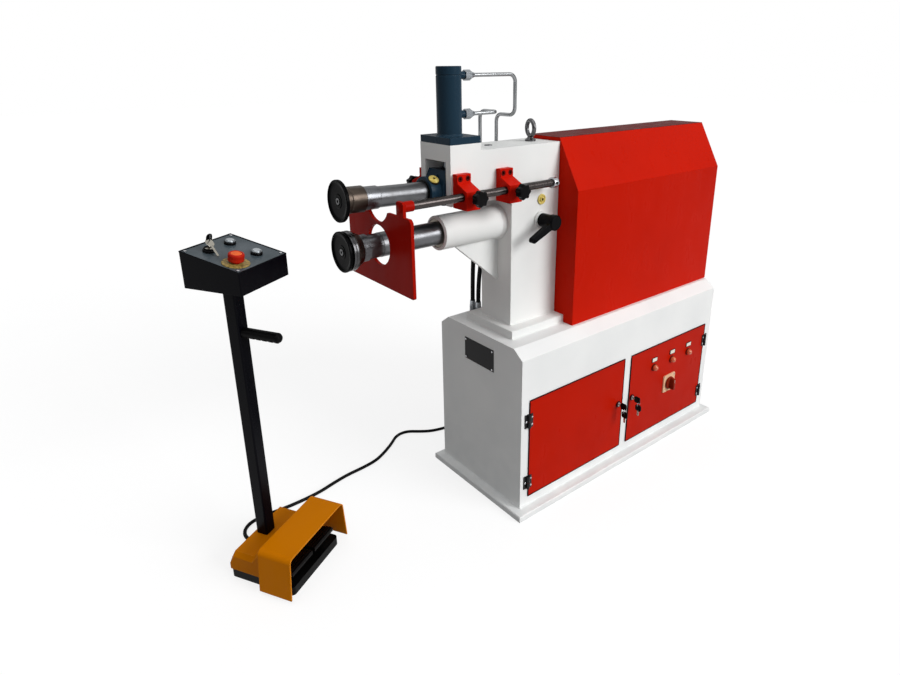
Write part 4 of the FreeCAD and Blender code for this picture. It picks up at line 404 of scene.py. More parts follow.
def screw_head(name, middle, axis, radius, rise, body, slot=True, turn=0.6):
    """A domed head: height is the rise times the root of 1 - (r/R)(r/R), with a straight
    slot sunk where the distance from one diameter is under an eighth of the radius."""
    axis, first, second = square_to(axis)
    share = np.concatenate([[1.0], np.linspace(1.0, 0.0, 14)])
    angle = np.linspace(0.0, 2.0 * pi, 48, endpoint=False)
    s, a = np.meshgrid(share, angle, indexing="ij")
    height = 0.25 * rise + 0.75 * rise * np.sqrt(np.clip(1.0 - s * s, 0.0, 1.0))
    height[0] = -0.2 * rise
    if slot:
        off = np.abs(s * np.sin(a - turn))
        height = np.where((off < 0.13) & (s < 0.93), height - 0.4 * rise, height)
    points = np.asarray(middle) + radius * s[..., None] * (
        np.cos(a)[..., None] * first + np.sin(a)[..., None] * second
    ) + height[..., None] * axis
    return skin(name, points, bright_screw, body, 30.0)


bright_screw = steel(
    "bright_screw", "chrome", (186, 187, 190), (120, 120, 120), 0.2, (260.0, 260.0, 260.0)
)
to_left, to_right, to_front, upwards = (-1, 0, 0), (1, 0, 0), (0, -1, 0), (0, 0, 1)
plate_face = -0.5516
for side, y in (("front", -0.071), ("back", 0.071)):
    for level, z in (("low", 0.499), ("high", 0.566)):
        screw_head("plate_rivet_%s_%s" % (side, level), (plate_face, y, z), to_left, 0.0033,
                   0.0011, "machine", slot=False)

# Door hinges
# Black steel hinges with bright screws: one on the frame's leaf and two on the door's. A
# thin arm joins the door's leaf to its knuckle, which turns about the pin.
black_steel = paint(
    "black_steel", "black_paint", (14, 14, 16), (24, 24, 26), (96, 96, 98), 0.3, 0.00004, gloss=0.2
)
dress(black_steel, "hinge_leaves")


def slab(name, middle, along, across, half_along, half_across, corner, steps, material, body):
    """A flat piece with round corners. Each step is an inset and a height: a ring runs
    round the outline, half-sizes less the inset, at that height above the middle."""
    along = np.asarray(along, dtype=float) / np.linalg.norm(along)
    across = np.asarray(across, dtype=float) / np.linalg.norm(across)
    rise = np.cross(along, across)
    angle = (np.arange(48) + 0.5) * 2.0 * pi / 48
    inset, height = np.asarray(steps, dtype=float).T[:, :, None]
    bend = np.maximum(corner - inset, 0.00005)
    a = np.sign(np.cos(angle)) * (half_along - inset - bend) + bend * np.cos(angle)
    b = np.sign(np.sin(angle)) * (half_across - inset - bend) + bend * np.sin(angle)
    rings = np.asarray(middle) + a[..., None] * along + b[..., None] * across
    return skin(name, rings + height[..., None] * rise, material, body, 30.0)


def turned(name, start, axis, profile, material, body, around=72, closed=False):
    """A turned piece: the profile's pairs are the way along the axis and the radius there,
    and each pair is carried round the axis. A closed profile makes a ring with a bore."""
    axis, first, second = square_to(axis)
    angle = np.linspace(0.0, 2.0 * pi, around, endpoint=False)
    spoke = np.cos(angle)[:, None] * first + np.sin(angle)[:, None] * second
    profile = np.asarray(profile, dtype=float)
    rings = np.asarray(start) + profile[:, :1, None] * axis + profile[:, 1:, None] * spoke[None]
    return skin(name, rings, material, body, closed=closed)


door_face = -0.2219
frame_leaf_face = -cabinet_half_depth - 0.0037
hinge_axis_y = -0.2256
hinge_levels = {"low": 0.1175, "high": 0.3585}
leaf_steps = [(0.0, 0.0), (0.0, -0.0024), (0.0005, -0.0027)]
knuckle = [(0.0, 0.003), (0.0, 0.0053), (0.0004, 0.0057), (0.0246, 0.0057), (0.025, 0.0053),
           (0.025, 0.003)]
for hand, axis_x, towards in (("left", -0.5174, 1.0), ("right", 0.5125, -1.0)):
    door = hand + "_door"
    for level, z in hinge_levels.items():
        tag = "%s_%s" % (hand, level)
        screw_head("frame_screw_" + tag, (axis_x - towards * 0.0115, frame_leaf_face, z), to_front,
                   0.0041, 0.0012, "machine", turn=0.4)
        slab("door_leaf_" + tag, (axis_x + towards * 0.012, door_face - 0.0001, z), upwards,
             to_right, 0.0252, 0.0052, 0.0012, leaf_steps, black_steel, door)
        slab("door_arm_" + tag, (axis_x + towards * 0.0062, door_face - 0.0001, z - 0.0128),
             upwards, to_right, 0.0124, 0.0028, 0.0004, leaf_steps, black_steel, door)
        turned("door_knuckle_" + tag, (axis_x, hinge_axis_y, z - 0.0252), upwards, knuckle,
               black_steel, door, 48, closed=True)
        for number, offset in ((1, -0.014), (2, 0.014)):
            screw_head("door_screw_%s_%d" % (tag, number),
                       (axis_x + towards * 0.0125, door_face - 0.0037, z + offset), to_front,
                       0.0036, 0.0013, door, turn=1.2 + offset * 40.0)

# Doors
# Flat red sheet with a folded lip inside. Its edges are painted darker as painted shade, a
# dark purple rubber strip behind it all round stands in for the shaded gap as painted shadow,
# and a rubber rosette stands round the lock near the free edge.
# The doors' wide dark edge colour is painted shade along their edges.
dress(paint(
    "red_enamel", "red_paint", (184, 24, 2), (170, 21, 2), (92, 8, 12), 0.33, 0.00005, low=0.3,
    gloss=0.03, edge=0.004, edge_start=0.1
), "left_door", "right_door")


def softened(profile, radius):
    """Each inner corner gives way to a curve from a point before it to one after it:
    (1-t)(1-t) before + 2t(1-t) corner + tt after. The curve starts at the radius from the
    corner, and never past the middle of a run, and has five points."""
    profile = np.asarray(profile, dtype=float)
    corner = profile[1:-1]
    ahead_run = profile[2:] - corner
    back_run = profile[:-2] - corner
    ahead_length = np.linalg.norm(ahead_run, axis=1, keepdims=True)
    back_length = np.linalg.norm(back_run, axis=1, keepdims=True)
    after = (corner + ahead_run * np.minimum(radius / ahead_length, 0.5))[:, None]
    before = (corner + back_run * np.minimum(radius / back_length, 0.5))[:, None]
    t = np.linspace(0.0, 1.0, 5)[None, :, None]
    curves = (1 - t) ** 2 * before + 2 * t * (1 - t) * corner[:, None] + t ** 2 * after
    return np.vstack([profile[:1], curves.reshape(-1, 2), profile[-1:]])


def rubber(name, slot, colour, scuff, roughness=0.55, grain=0.00012, scale=900.0):
    """Rubber or moulded plastic: a fine matt grain, and scuffs of another colour in patches."""
    colour, scuff = tone(*colour), tone(*scuff)
    finish = Finish(name, slot, colour, roughness, gloss=0.06)
    patches = finish.spread(finish.noise(14.0, 5.0), 0.45, 0.75)
    finish.relief(finish.noise(scale, 3.0), grain)
    return finish.show(
        finish.mixed(finish.combined("MULTIPLY", patches, 0.6), colour, scuff),
        finish.spread(patches, 0.0, 1.0, roughness, roughness + 0.16)
    )


rosette_and_gap_shade_rubber = rubber("rosette_and_gap_shade_rubber", "hose_rubber", (38, 4, 12), (60, 14, 22), 0.5, 0.0001, 500.0)
gap_shade_y = -0.2212
door_bottom, door_top = 0.0585, 0.4315
# A dark purple strip round each door stands in for the shaded gap between door and cabinet: painted
# shadow.
for hand, x0, x1 in (("left", -0.5129, -0.0229), ("right", 0.018, 0.508)):
    edge_line = [(x, gap_shade_y, z) for x, z in round_trip(x0, x1, door_bottom, door_top)]
    seam("door_gap_shade_" + hand, edge_line, 0.0022, 0.0, rosette_and_gap_shade_rubber, hand + "_door", 0.02)
lock_z = 0.25
lock_places = {"left": -0.0469, "right": 0.035}
rosette = softened([(0.0, 0.0085), (0.0, 0.0125), (0.0034, 0.0118), (0.0034, 0.0085)], 0.0006)
for hand, x in lock_places.items():
    turned("lock_rosette_" + hand, (x, door_face - 0.001, lock_z), to_front, rosette,
           rosette_and_gap_shade_rubber, hand + "_door", 48, closed=True)

# Door locks
# A bright lock plug with the key in it. The key has a black plastic head, a wire ring through
# it, and a second key hangs on the ring. Inside, a steel tongue slips behind the frame.
key_plastic = rubber("key_plastic", "black_plastic", (7, 7, 8), (26, 26, 28), 0.26, 0.00003, 700.0)
key_steel = steel("key_steel", "steel", (164, 160, 150), (110, 104, 92), 0.24, (300.0, 300.0, 30.0))
plug_profile = softened(
    [(-0.015, 0.0), (-0.015, 0.0049), (0.0, 0.0049), (0.0, 0.0075), (0.0022, 0.0072),
     (0.0022, 0.0)], 0.0004
)
tongue_steps = [(0.0004, -0.0002), (0.0, 0.0002), (0.0, 0.0026), (0.0004, 0.003)]
blade_steps = [(0.0002, 0.0), (0.0, 0.0002), (0.0, 0.002), (0.0002, 0.0022)]
head_steps = [(0.0022, -0.0001), (0.0008, 0.0004), (0.0, 0.0014), (0.0, 0.0046),
              (0.0008, 0.0056), (0.0022, 0.0061), (0.006, 0.0056), (0.0066, 0.0056)]
key_flat = ((0, 1, 0), (0, 0, 1))
hang_y = -0.257
ring_angle = np.linspace(0.0, 2.0 * pi, 60)
ring_circle = 0.008 * np.stack([np.cos(ring_angle), np.zeros(60), np.sin(ring_angle)], axis=-1)
for hand, x in lock_places.items():
    latch = hand + "_latch"
    turned(latch + "_plug", (x, -0.2262, lock_z), to_front, plug_profile, bright_screw, latch, 48)
    slab(latch + "_tongue", (x, -0.2134, lock_z + 0.0125), upwards, to_right, 0.0185, 0.006,
         0.002, tongue_steps, key_steel, latch)
    slab(latch + "_blade", (x - 0.0011, -0.233, lock_z), *key_flat, 0.0052, 0.004, 0.0004,
         blade_steps, key_steel, latch)
    slab(latch + "_head", (x - 0.003, -0.2495, lock_z), *key_flat, 0.013, 0.013, 0.0075,
         head_steps, key_plastic, latch)
    seam(latch + "_ring", (x, hang_y, lock_z - 0.016) + ring_circle, 0.001, 0.0, bright_screw,
         latch)
    slab(latch + "_spare_head", (x - 0.003, hang_y, lock_z - 0.032), *key_flat, 0.013, 0.013,
         0.0075, head_steps, key_plastic, latch)
    spare = slab(latch + "_spare_blade", (x - 0.0011, hang_y, lock_z - 0.0545), *key_flat, 0.004,
                 0.0105, 0.0015, blade_steps, key_steel, latch)
    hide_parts(latch)

# Lamps and main switch
# On the right door: three amber signal lamps in red bezels, a white label holder above
# each, and the main switch with its red turning grip on a square pale plate.
amber = Finish("amber_lens", "amber_plastic", tone(226, 100, 50), 0.2, coat=0.2)
amber.shader.inputs["Transmission Weight"].default_value = 0.25
amber.shader.inputs["Subsurface Weight"].default_value = 0.2
amber.shader.inputs["Subsurface Radius"].default_value = (0.004, 0.002, 0.001)
amber.relief(amber.noise(1.0, 1.0, amber.stretched((620.0, 10.0, 620.0))), 0.0002)
amber_lens = amber.show(amber.mixed(amber.noise(160.0), tone(222, 92, 44), tone(238, 132, 80)))
label_white = rubber(
    "label_white", "panel_grey", (232, 226, 214), (206, 198, 186), 0.4, 0.00003, 900.0
)
bezel_red = rubber("bezel_red", "red_plastic", (96, 16, 10), (134, 40, 24), 0.3, 0.00003, 700.0)
lamp_bezel = softened(
    [(0.0, 0.0), (0.0, 0.0152), (0.0026, 0.015), (0.0044, 0.0132), (0.0052, 0.0122),
     (0.004, 0.0119), (0.004, 0.0)], 0.0008
)
# The lens ends in a quarter ellipse: 11 mm times the sine out, its radius times the cosine
# across.
lens_radius = 0.0118
rise = np.linspace(0.0, pi / 2.0, 16)
lens_dome = np.column_stack([0.008 + 0.011 * np.sin(rise), lens_radius * np.cos(rise)])
lens_dome = np.vstack([[0.0041, 0.0], [0.0041, lens_radius], lens_dome])
holder_steps = [(0.0, 0.0), (0.0, -0.0014), (0.0007, -0.002), (0.002, -0.002), (0.0024, -0.0015)]
lamp_z, label_z = 0.338, 0.371
for number, x in enumerate((0.165, 0.283, 0.396), 1):
    tag = "lamp_%d" % number
    lamp_seat = (x, door_face, lamp_z)
    turned(tag + "_bezel", lamp_seat, to_front, lamp_bezel, bezel_red, "right_door", 64)
    turned(tag + "_lens", lamp_seat, to_front, lens_dome, amber_lens, "right_door", 64)
    slab(tag + "_holder", (x, door_face, label_z), upwards, to_right, 0.0098, 0.018, 0.002,
         holder_steps, key_plastic, "right_door")
    slab(tag + "_label", (x + 0.0012, door_face - 0.0013, label_z), upwards, to_right, 0.0074,
         0.0146, 0.0008, [(0.0, 0.0), (0.0, -0.0004), (0.0003, -0.0006)], label_white,
         "right_door")

switch_x, switch_z = 0.276, 0.235
switch_plate = rubber(
    "switch_plate", "yellow_plastic", (232, 190, 152), (206, 150, 112), 0.42, 0.00004, 600.0
)
escutcheon = slab(
    "switch_escutcheon", (switch_x, door_face, switch_z), upwards, to_right, 0.038, 0.038, 0.006,
    [(0.0, 0.0), (0.0, -0.0038), (0.0012, -0.005), (0.004, -0.005), (0.0046, -0.0046)],
    switch_plate, "right_door"
)
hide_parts("door_controls")
corner_off = 0.03
for number, (dx, dz) in enumerate(((-1, -1), (1, -1), (-1, 1), (1, 1)), 1):
    screw_head(
        "switch_screw_%d" % number,
        (switch_x + corner_off * dx, door_face - 0.0047, switch_z + corner_off * dz), to_front,
        0.0028, 0.001, "right_door", turn=number * 0.9
    )
handle_y = -0.2272
switch_red = rubber("switch_red", "red_plastic", (126, 30, 12), (150, 52, 26), 0.26, 0.00003, 700.0)
disc_profile = softened(
    [(-0.03, 0.0), (-0.03, 0.0059), (0.0, 0.0059), (0.0, 0.027), (0.0045, 0.0268),
     (0.0078, 0.0246), (0.0082, 0.0)], 0.0014
)
turned("switch_disc", (switch_x, handle_y, switch_z), to_front, disc_profile, switch_red,
       "main_switch", 96)
grip = slab(
    "switch_grip", (switch_x, handle_y - 0.0065, switch_z), upwards, to_right, 0.025, 0.007,
    0.0045, [(-0.0006, 0.0), (0.0, -0.004), (0.0003, -0.016), (0.0012, -0.0186),
             (0.003, -0.0195)], switch_red, "main_switch"
)
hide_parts("main_switch_handle")
slab("switch_pointer", (switch_x, handle_y - 0.0259, switch_z + 0.0145), upwards, to_right,
     0.0062, 0.0012, 0.0006, [(0.0, 0.0002), (0.0, -0.0001), (0.0003, -0.0003)], label_white,
     "main_switch")

# Column, head and lower arm
# Cast and welded steel in white enamel. The column stands on a thick flange, the head lies
# on it, and the arm with its gusset carries the lower shaft out to the rolls.
casting = paint(
    "white_casting", "white_paint", (240, 241, 239), (224, 226, 225), (190, 193, 195), 0.4, 0.00012,
    gloss=0.12
)
dress(casting, "column_flange", "column_body", "head_block", "lower_arm")
cabinet_top, flange_top = 0.615, 0.643
seam("flange_seam", frame_line(-0.506, -0.215, -0.1206, 0.1206, cabinet_top), 0.003, 0.0003,
     casting)
seam("column_seam", frame_line(-0.474, -0.264, -0.0755, 0.0755, flange_top), 0.0034, 0.0004,
     casting)

# Grease cap and head plug
# A yellow cap with a rim and a sunk ring closes the grease point on the column's front; a dark
# plug in its bore is painted shade. A plain turned steel plug closes the hole in the head's top.


def clouded(name, colour, pale, dark, roughness, gloss, cloud_scale, cloud_top, grain, radius):
    """Yellow lacquer: a cloud of noise from 0.4 up to its top goes from the pale colour to the
    dark one, over a fine grain and edges that look rounded by the radius."""
    finish = Finish(name, "yellow_plastic", tone(*colour), roughness, gloss=gloss)
    cloud = finish.spread(finish.noise(cloud_scale, 4.0), 0.4, cloud_top)
    finish.relief(finish.noise(grain), 0.00003, radius)
    return finish.show(finish.mixed(cloud, tone(*pale), tone(*dark)))


cap_yellow = clouded(
    "cap_yellow", (222, 202, 112), (228, 210, 124), (184, 156, 62), 0.36, 0.2, 150.0, 0.7, 700.0,
    0.0005
)
bore_shade_and_boss_dark = rubber("bore_shade_and_boss_dark", "dark_steel", (34, 26, 8), (60, 50, 20), 0.4, 0.00003, 700.0)
cap_seat = (-0.343, -0.0755, 1.06)
# A dark plug in the cap's bore: painted shade in the hole.
turned(
    "column_cap_bore_shade", cap_seat, to_front,
    [(0.0038, 0.0), (0.0038, 0.0045), (0.0067, 0.0045), (0.0067, 0.0)], bore_shade_and_boss_dark, "machine", 32
)
column_cap = turned(
    "column_cap", cap_seat, to_front,
    softened(
        [(-0.0005, 0.0), (-0.0005, 0.0172), (0.0036, 0.0172), (0.0046, 0.016), (0.0046, 0.0128),
         (0.0026, 0.012), (0.0026, 0.0088), (0.006, 0.008), (0.0071, 0.0064), (0.0071, 0.0046),
         (0.004, 0.0044), (0.004, 0.0)], 0.0006
    ), cap_yellow, "machine", 64
)
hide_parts("grease_caps")
spindle_steel = steel(
    "spindle_steel", "steel", (104, 105, 108), (70, 69, 67), 0.29, (500.0, 3.0, 3.0), 0.000006, 0.4
)
turned(
    "head_plug", (-0.508, 0.0, 1.2408), upwards,
    softened(
        [(0.0, 0.0), (0.0, 0.013), (0.0022, 0.0122), (0.0027, 0.011), (0.0027, 0.005),
         (0.001, 0.0044), (0.001, 0.0)], 0.0005
    ), spindle_steel, "machine", 48
)

# Lower spindle
# A turned steel shaft with its gear at the right end and the forming roll at the left: a
# blackened disc, a grooved ring and a cone, clamped behind by a knurled ring and a spacer.
dress(spindle_steel, "lower_shaft", "upper_shaft")
dress(steel(
    "gear_steel", "dark_steel", (118, 118, 120), (76, 72, 66), 0.34, (240.0, 8.0, 8.0), 0.00003
), "lower_gear", "upper_gear", "drive_pinion")
# The pale edge colour on the blackened roll discs is a painted highlight: glints along their rims.
roll_steel = paint(
    "roll_steel", "dark_steel", (4, 4, 5), (8, 8, 9), (120, 120, 124), 0.2, 0.00003, gloss=0.02,
    edge=0.0012, edge_start=0.2
)
hub_steel = steel(
    "hub_steel", "dark_steel", (72, 64, 58), (46, 40, 35), 0.3, (500.0, 4.0, 4.0), 0.000008, 0.5
)
ring_steel = steel(
    "ring_steel", "dark_steel", (84, 84, 86), (40, 39, 38), 0.2, (700.0, 4.0, 4.0), 0.000008, 0.5
)
axis_z = 0.992
shaft_tip = -1.041
lower_tip = (shaft_tip, 0.0, axis_z)
seat_radius = 0.0251
screw_bore = 0.0119


def roll_disc(name, tip, along, face, back, body):
    """A roll's disc: its softened face from the screw's bore outwards, closed at the back and
    along the shaft's seat, and turned about the shaft."""
    bore = [[0.012, seat_radius], [0.012, screw_bore]]
    profile = np.vstack([bore, softened(face, 0.0012), [back, seat_radius]])
    return turned(name, tip, along, profile, roll_steel, body, 128, closed=True)


def roll_ring(name, tip, along, outside, back, rounding, finish, body):
    """A ring of a roll: its softened outside, from its left end to its back, closed along
    the shaft's seat and turned about the shaft."""
    outline = [(outside[0][0], seat_radius), *outside, (back, seat_radius)]
    return turned(name, tip, along, softened(outline, rounding), finish, body, 128, closed=True)


roll_disc(
    "lower_disc", lower_tip, to_right,
    [(0.0044, screw_bore), (0.004, 0.018), (0.0052, 0.02), (0.0044, 0.044), (0.003, 0.05),
     (0.0004, 0.0528), (0.0, 0.0545), (0.0003, 0.0572), (0.0012, 0.0582), (0.007, 0.0582),
     (0.008, 0.0572), (0.008, 0.05), (0.014, 0.05)], 0.0142, "lower_spindle"
)
for name, back, rounding, finish, outside in (
    ("lower_ring", 0.0302, 0.0006, ring_steel, [
        (0.014, 0.0562), (0.015, 0.057), (0.02, 0.057), (0.0208, 0.0556), (0.0226, 0.0556),
        (0.0234, 0.057), (0.029, 0.0569), (0.03, 0.055)
    ]),
    ("lower_cone", 0.0537, 0.0012, hub_steel, [
        (0.03, 0.0555), (0.0312, 0.0562), (0.033, 0.055), (0.05, 0.0452), (0.0526, 0.0445),
        (0.0537, 0.0435)
    ]),
    ("lower_spacer", 0.121, 0.0006, spindle_steel, [
        (0.0785, 0.0345), (0.0792, 0.0352), (0.1202, 0.0352), (0.121, 0.0345)
    ])
):
    roll_ring(name, lower_tip, to_right, outside, back, rounding, finish, "lower_spindle")
# The knurl is cut by two slanting sets of lines: the radius falls by its depth times one less
# the product of their cosines, between the ring's two rims.
knurl_points = np.array([
    (0.0538, seat_radius), (0.0538, 0.0375), (0.0544, 0.0385), (0.0552, 0.039), (0.077, 0.039),
    (0.0778, 0.0385), (0.0784, 0.0375), (0.0784, seat_radius)
])
knurl_lines, knurl_lead, knurl_depth = 60, 2600.0, 0.00035
steps = np.concatenate([[0, 1, 2], np.linspace(3.0, 4.0, 60), [5, 6, 7]])
angle = np.linspace(0.0, 2.0 * pi, 240, endpoint=False)[None]
knurl_x = np.interp(steps, np.arange(8), knurl_points[:, 0])[:, None]
knurl_r = np.interp(steps, np.arange(8), knurl_points[:, 1])[:, None] * np.ones_like(angle)
inside = ((steps > 3.05) & (steps < 3.95))[:, None]
cross = np.cos(knurl_lines * angle + knurl_x * knurl_lead) * np.cos(
    knurl_lines * angle - knurl_x * knurl_lead
)
knurl_r = np.where(inside, knurl_r - knurl_depth + knurl_depth * cross, knurl_r)
knurl = np.stack([
    shaft_tip + knurl_x + 0.0 * knurl_r, knurl_r * np.cos(angle), axis_z + knurl_r * np.sin(angle)
], axis=-1)
knurled = skin("lower_knurl", knurl, spindle_steel, "lower_spindle", 50.0, closed=True)
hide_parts("lower_roll")
roll_screw = softened(
    [(0.012, 0.0), (0.012, 0.0118), (0.009, 0.0118), (0.0085, 0.0099), (0.0024, 0.0099),
     (0.0018, 0.0092), (0.0018, 0.0042), (0.008, 0.004), (0.008, 0.0)], 0.0005
)
turned("lower_roll_screw", lower_tip, to_right, roll_screw, ring_steel, "lower_spindle", 48)

# Upper spindle
# The upper shaft rides in a ball at its gear end, so its roll can be pressed down on the
# lower one. The roll is a plain blackened disc on a hub, with a spacer ring behind it.
pivot = np.array([-0.285, 0.0, 1.109])
tilt = radians(1.97)
upper_axis = np.array([-cos(tilt), 0.0, sin(tilt)])


def upper_place(x):
    """A point of the upper shaft's tilted axis, from its place along the level axis."""
    return pivot + upper_axis * (pivot[0] - x)


upper_tip = upper_place(shaft_tip)
roll_disc(
    "upper_disc", upper_tip, -upper_axis,
    [(0.004, screw_bore), (0.0036, 0.018), (0.0048, 0.02), (0.004, 0.044), (0.0026, 0.0505),
     (0.0004, 0.0532), (0.0, 0.0548), (0.0003, 0.0573), (0.0012, 0.0582), (0.0088, 0.0582),
     (0.01, 0.0572), (0.01, 0.031), (0.013, 0.031)], 0.0132, "upper_spindle"
)
hub = roll_ring(
    "upper_hub", upper_tip, -upper_axis,
    [(0.013, 0.0362), (0.014, 0.037), (0.03, 0.037), (0.0308, 0.0362), (0.0318, 0.0362),
     (0.0326, 0.037), (0.0745, 0.037), (0.076, 0.036)],
    0.0762, 0.0007, hub_steel, "upper_spindle"
)
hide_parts("upper_roll")
roll_ring(
    "upper_spacer", upper_tip, -upper_axis,
    [(0.0762, 0.0322), (0.0772, 0.033), (0.1206, 0.033), (0.122, 0.032)],
    0.122, 0.0008, spindle_steel, "upper_spindle"
)
turned("upper_roll_screw", upper_tip, -upper_axis, roll_screw, ring_steel, "upper_spindle", 48)

# Bearing block, piston rod and cylinder
# The block slides in the head's open end and is hung on the chromed rod. Its round nose has
# a black seal round the shaft, which partly stands in for the shade on the nose's end as
# painted shade, and a yellow grease cap on a boss that leans to the front.
# Block, nose and cylinder are painted dark petrol blue.
petrol = paint(
    "petrol_enamel", "blue_paint", (29, 52, 68), (19, 38, 52), (84, 100, 110), 0.24, 0.00004,
    gloss=0.07
)
dress(petrol, "hydraulic_cylinder", "bearing_block")
nose_radius, nose_bore, nose_length = 0.0455, 0.0303, 0.037
turned(
    "block_nose", upper_place(-0.76), -upper_axis,
    softened([(0.0, nose_bore), (0.0, nose_radius - 0.0015), (0.0012, nose_radius),
              (nose_length, nose_radius), (nose_length, nose_bore)], 0.0008),
    petrol, "upper_block", 128, closed=True
)
# The black seal lip is partly a real seal and partly painted shade on the nose's end.
turned(
    "block_seal_and_shade_ring", upper_place(-0.7622), -upper_axis,
    softened([(0.0, nose_bore), (0.0, 0.0345), (0.0012, 0.036), (0.0024, 0.0362),
              (0.0024, nose_bore)], 0.0008),
    key_plastic, "upper_block", 96, closed=True
)
cap_lean = radians(34.0)
cap_out = np.array([0.0, -sin(cap_lean), cos(cap_lean)])
cap_middle = upper_place(-0.739) + nose_radius * cap_out
turned(
    "block_cap_boss", cap_middle, cap_out,
    softened([(-0.007, 0.0), (-0.007, 0.018), (0.0008, 0.018), (0.0016, 0.0172),
              (0.0016, 0.0)], 0.0006), bore_shade_and_boss_dark, "upper_block", 64
)
turned(
    "block_cap", cap_middle, cap_out,
    softened([(0.0008, 0.0), (0.0008, 0.016), (0.0036, 0.0158), (0.0048, 0.0146),
              (0.0048, 0.0118), (0.0058, 0.011), (0.0062, 0.0086), (0.0066, 0.0062),
              (0.0066, 0.0042), (0.0056, 0.004), (0.0056, 0.0)], 0.0008),
    cap_yellow, "upper_block", 64
)
# A dark plug in the block cap's bore: painted shade in the hole.
turned("block_cap_bore_shade", cap_middle, cap_out,
       [(0.0054, 0.0), (0.0054, 0.0041), (0.006, 0.004), (0.006, 0.0)], bore_shade_and_boss_dark,
       "upper_block", 32)
dress(steel(
    "rod_chrome", "chrome", (84, 88, 90), (52, 56, 58), 0.14, (6.0, 6.0, 500.0), 0.000008, 0.3
), "piston_rod")

# Pipes and fittings
# Bright bent steel pipes run from the ports to the unions behind the column. The nuts and
# the unions are zinc plated.
dress(steel(
    "pipe_steel", "chrome", (150, 152, 154), (92, 94, 94), 0.16, (60.0, 60.0, 60.0), 0.000006
), "steel_pipes")
dress(steel(
    "fitting_steel", "dark_steel", (150, 154, 158), (84, 86, 90), 0.22, (160.0, 160.0, 160.0),
    0.00002
), "pipe_fittings")

# Hoses
# Two rubber pressure hoses hang from the unions behind the column down to the hose ends on
# the cabinet's top, and go straight on inside to the valve block.


def laid_cord(name, points, radius, material):
    """A smooth line through free curves: a NURBS spline of order 3 with these points."""
    curve = bpy.data.curves.new(name, "CURVE")
    curve.dimensions = "3D"
    curve.bevel_depth = radius
    curve.bevel_resolution = 6
    curve.resolution_u = 14
    curve.use_fill_caps = True
    line = curve.splines.new("NURBS")
    line.points.add(len(points) - 1)
    weights = np.ones(len(points))
    line.points.foreach_set("co", np.column_stack([points, weights]).ravel())
    line.order_u = 3
    line.use_endpoint_u = True
    curve.materials.append(material)
    piece = bpy.data.objects.new(name, curve)
    bpy.context.collection.objects.link(piece)
    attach(piece, "machine")
    return piece


hose_cover = rubber("hose_cover", "hose_rubber", (12, 13, 14), (40, 40, 40), 0.4, 0.0002, 500.0)
hose_radius = 0.008
union_y, union_end = 0.09, 1.04
valve_top = 0.43
inner_run = softened([(0.0, 0.0), (0.0, hose_radius), (0.155, hose_radius), (0.155, 0.0)], 0.001)
for name, union_x, inlet_x, inlet_y, bend_z, inner_name in (
    ("far_hose", -0.468, -0.446, 0.163, 0.855, "inner_hose_a"),
    ("near_hose", -0.398, -0.442, 0.135, 0.815, "inner_hose_b")
):
    hose_points = np.array([
        (union_x, union_y, union_end), (union_x, union_y, 0.968), (inlet_x, inlet_y, bend_z),
        (inlet_x, inlet_y, 0.66)
    ])
    laid_cord(name, hose_points, hose_radius, hose_cover)
    turned(inner_name, (inlet_x, inlet_y, valve_top), upwards, inner_run, hose_cover, "machine", 32)
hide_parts("rubber_hoses")

# Lifting eye
# A forged and polished eye bolt, screwed into the head's top. The whole machine is lifted
# by it.
dress(steel(
    "forged_steel", "dark_steel", (100, 100, 102), (58, 54, 50), 0.2, (90.0, 90.0, 90.0), 0.00003
), "eye_bolt")

# Depth stop
# A red plate across both shafts, carried by two round steel bars. Four red clamp blocks on
# the head guide the bars, each with two socket screws and a black star knob.
# The stop plate's red is a darker copy of the clamps' red: painted shade on a plate that faces away
# from the light.
shade_darkened_stop_paint = paint(
    "shade_darkened_stop_enamel", "red_paint", (164, 17, 4), (144, 14, 4), (104, 14, 10), 0.36, 0.00005, gloss=0.03
)
dress(shade_darkened_stop_paint, "stop_plate")
dress(paint(
    "clamp_enamel", "red_paint", (198, 24, 8), (178, 20, 6), (122, 16, 10), 0.36, 0.00005,
    gloss=0.03
), "clamp_blocks")
dress(steel(
    "bar_steel", "steel", (70, 65, 64), (42, 39, 38), 0.22, (500.0, 4.0, 4.0), 0.000006, 0.6
), "guide_bars")
dress(paint(
    "painted_screw", "dark_steel", (92, 12, 8), (60, 10, 8), (60, 40, 40), 0.3, 0.00003
), "socket_screws")
bar_y, bar_z = 0.12, 1.12
bar_plug = [(0.0, 0.0), (0.0, 0.013), (0.0003, 0.0134), (0.0016, 0.0134), (0.0016, 0.0)]
set_collar = softened(
    [(0.0, 0.0), (0.0, 0.0162), (0.0012, 0.0174), (0.0196, 0.0174), (0.0208, 0.0162),
     (0.0208, 0.0)], 0.0005
)
set_screw = [(0.0, 0.0), (0.0, 0.0046), (0.003, 0.0044), (0.003, 0.0026), (0.0016, 0.0024),
             (0.0016, 0.0)]
for side, y in (("front", -bar_y), ("rear", bar_y)):
    turned("bar_plug_" + side, (-0.9202, y, bar_z), to_right, bar_plug, shade_darkened_stop_paint, "depth_stop",
           48)
    turned("set_collar_" + side, (-0.3454, y, bar_z), to_right, set_collar, bright_screw,
           "depth_stop", 64)
    turned("set_screw_" + side, (-0.335, y - 0.016, bar_z), to_front, set_screw, key_plastic,
           "depth_stop", 32)
knob_black = rubber("knob_black", "black_plastic", (6, 6, 7), (22, 22, 24), 0.22, 0.00003, 800.0)
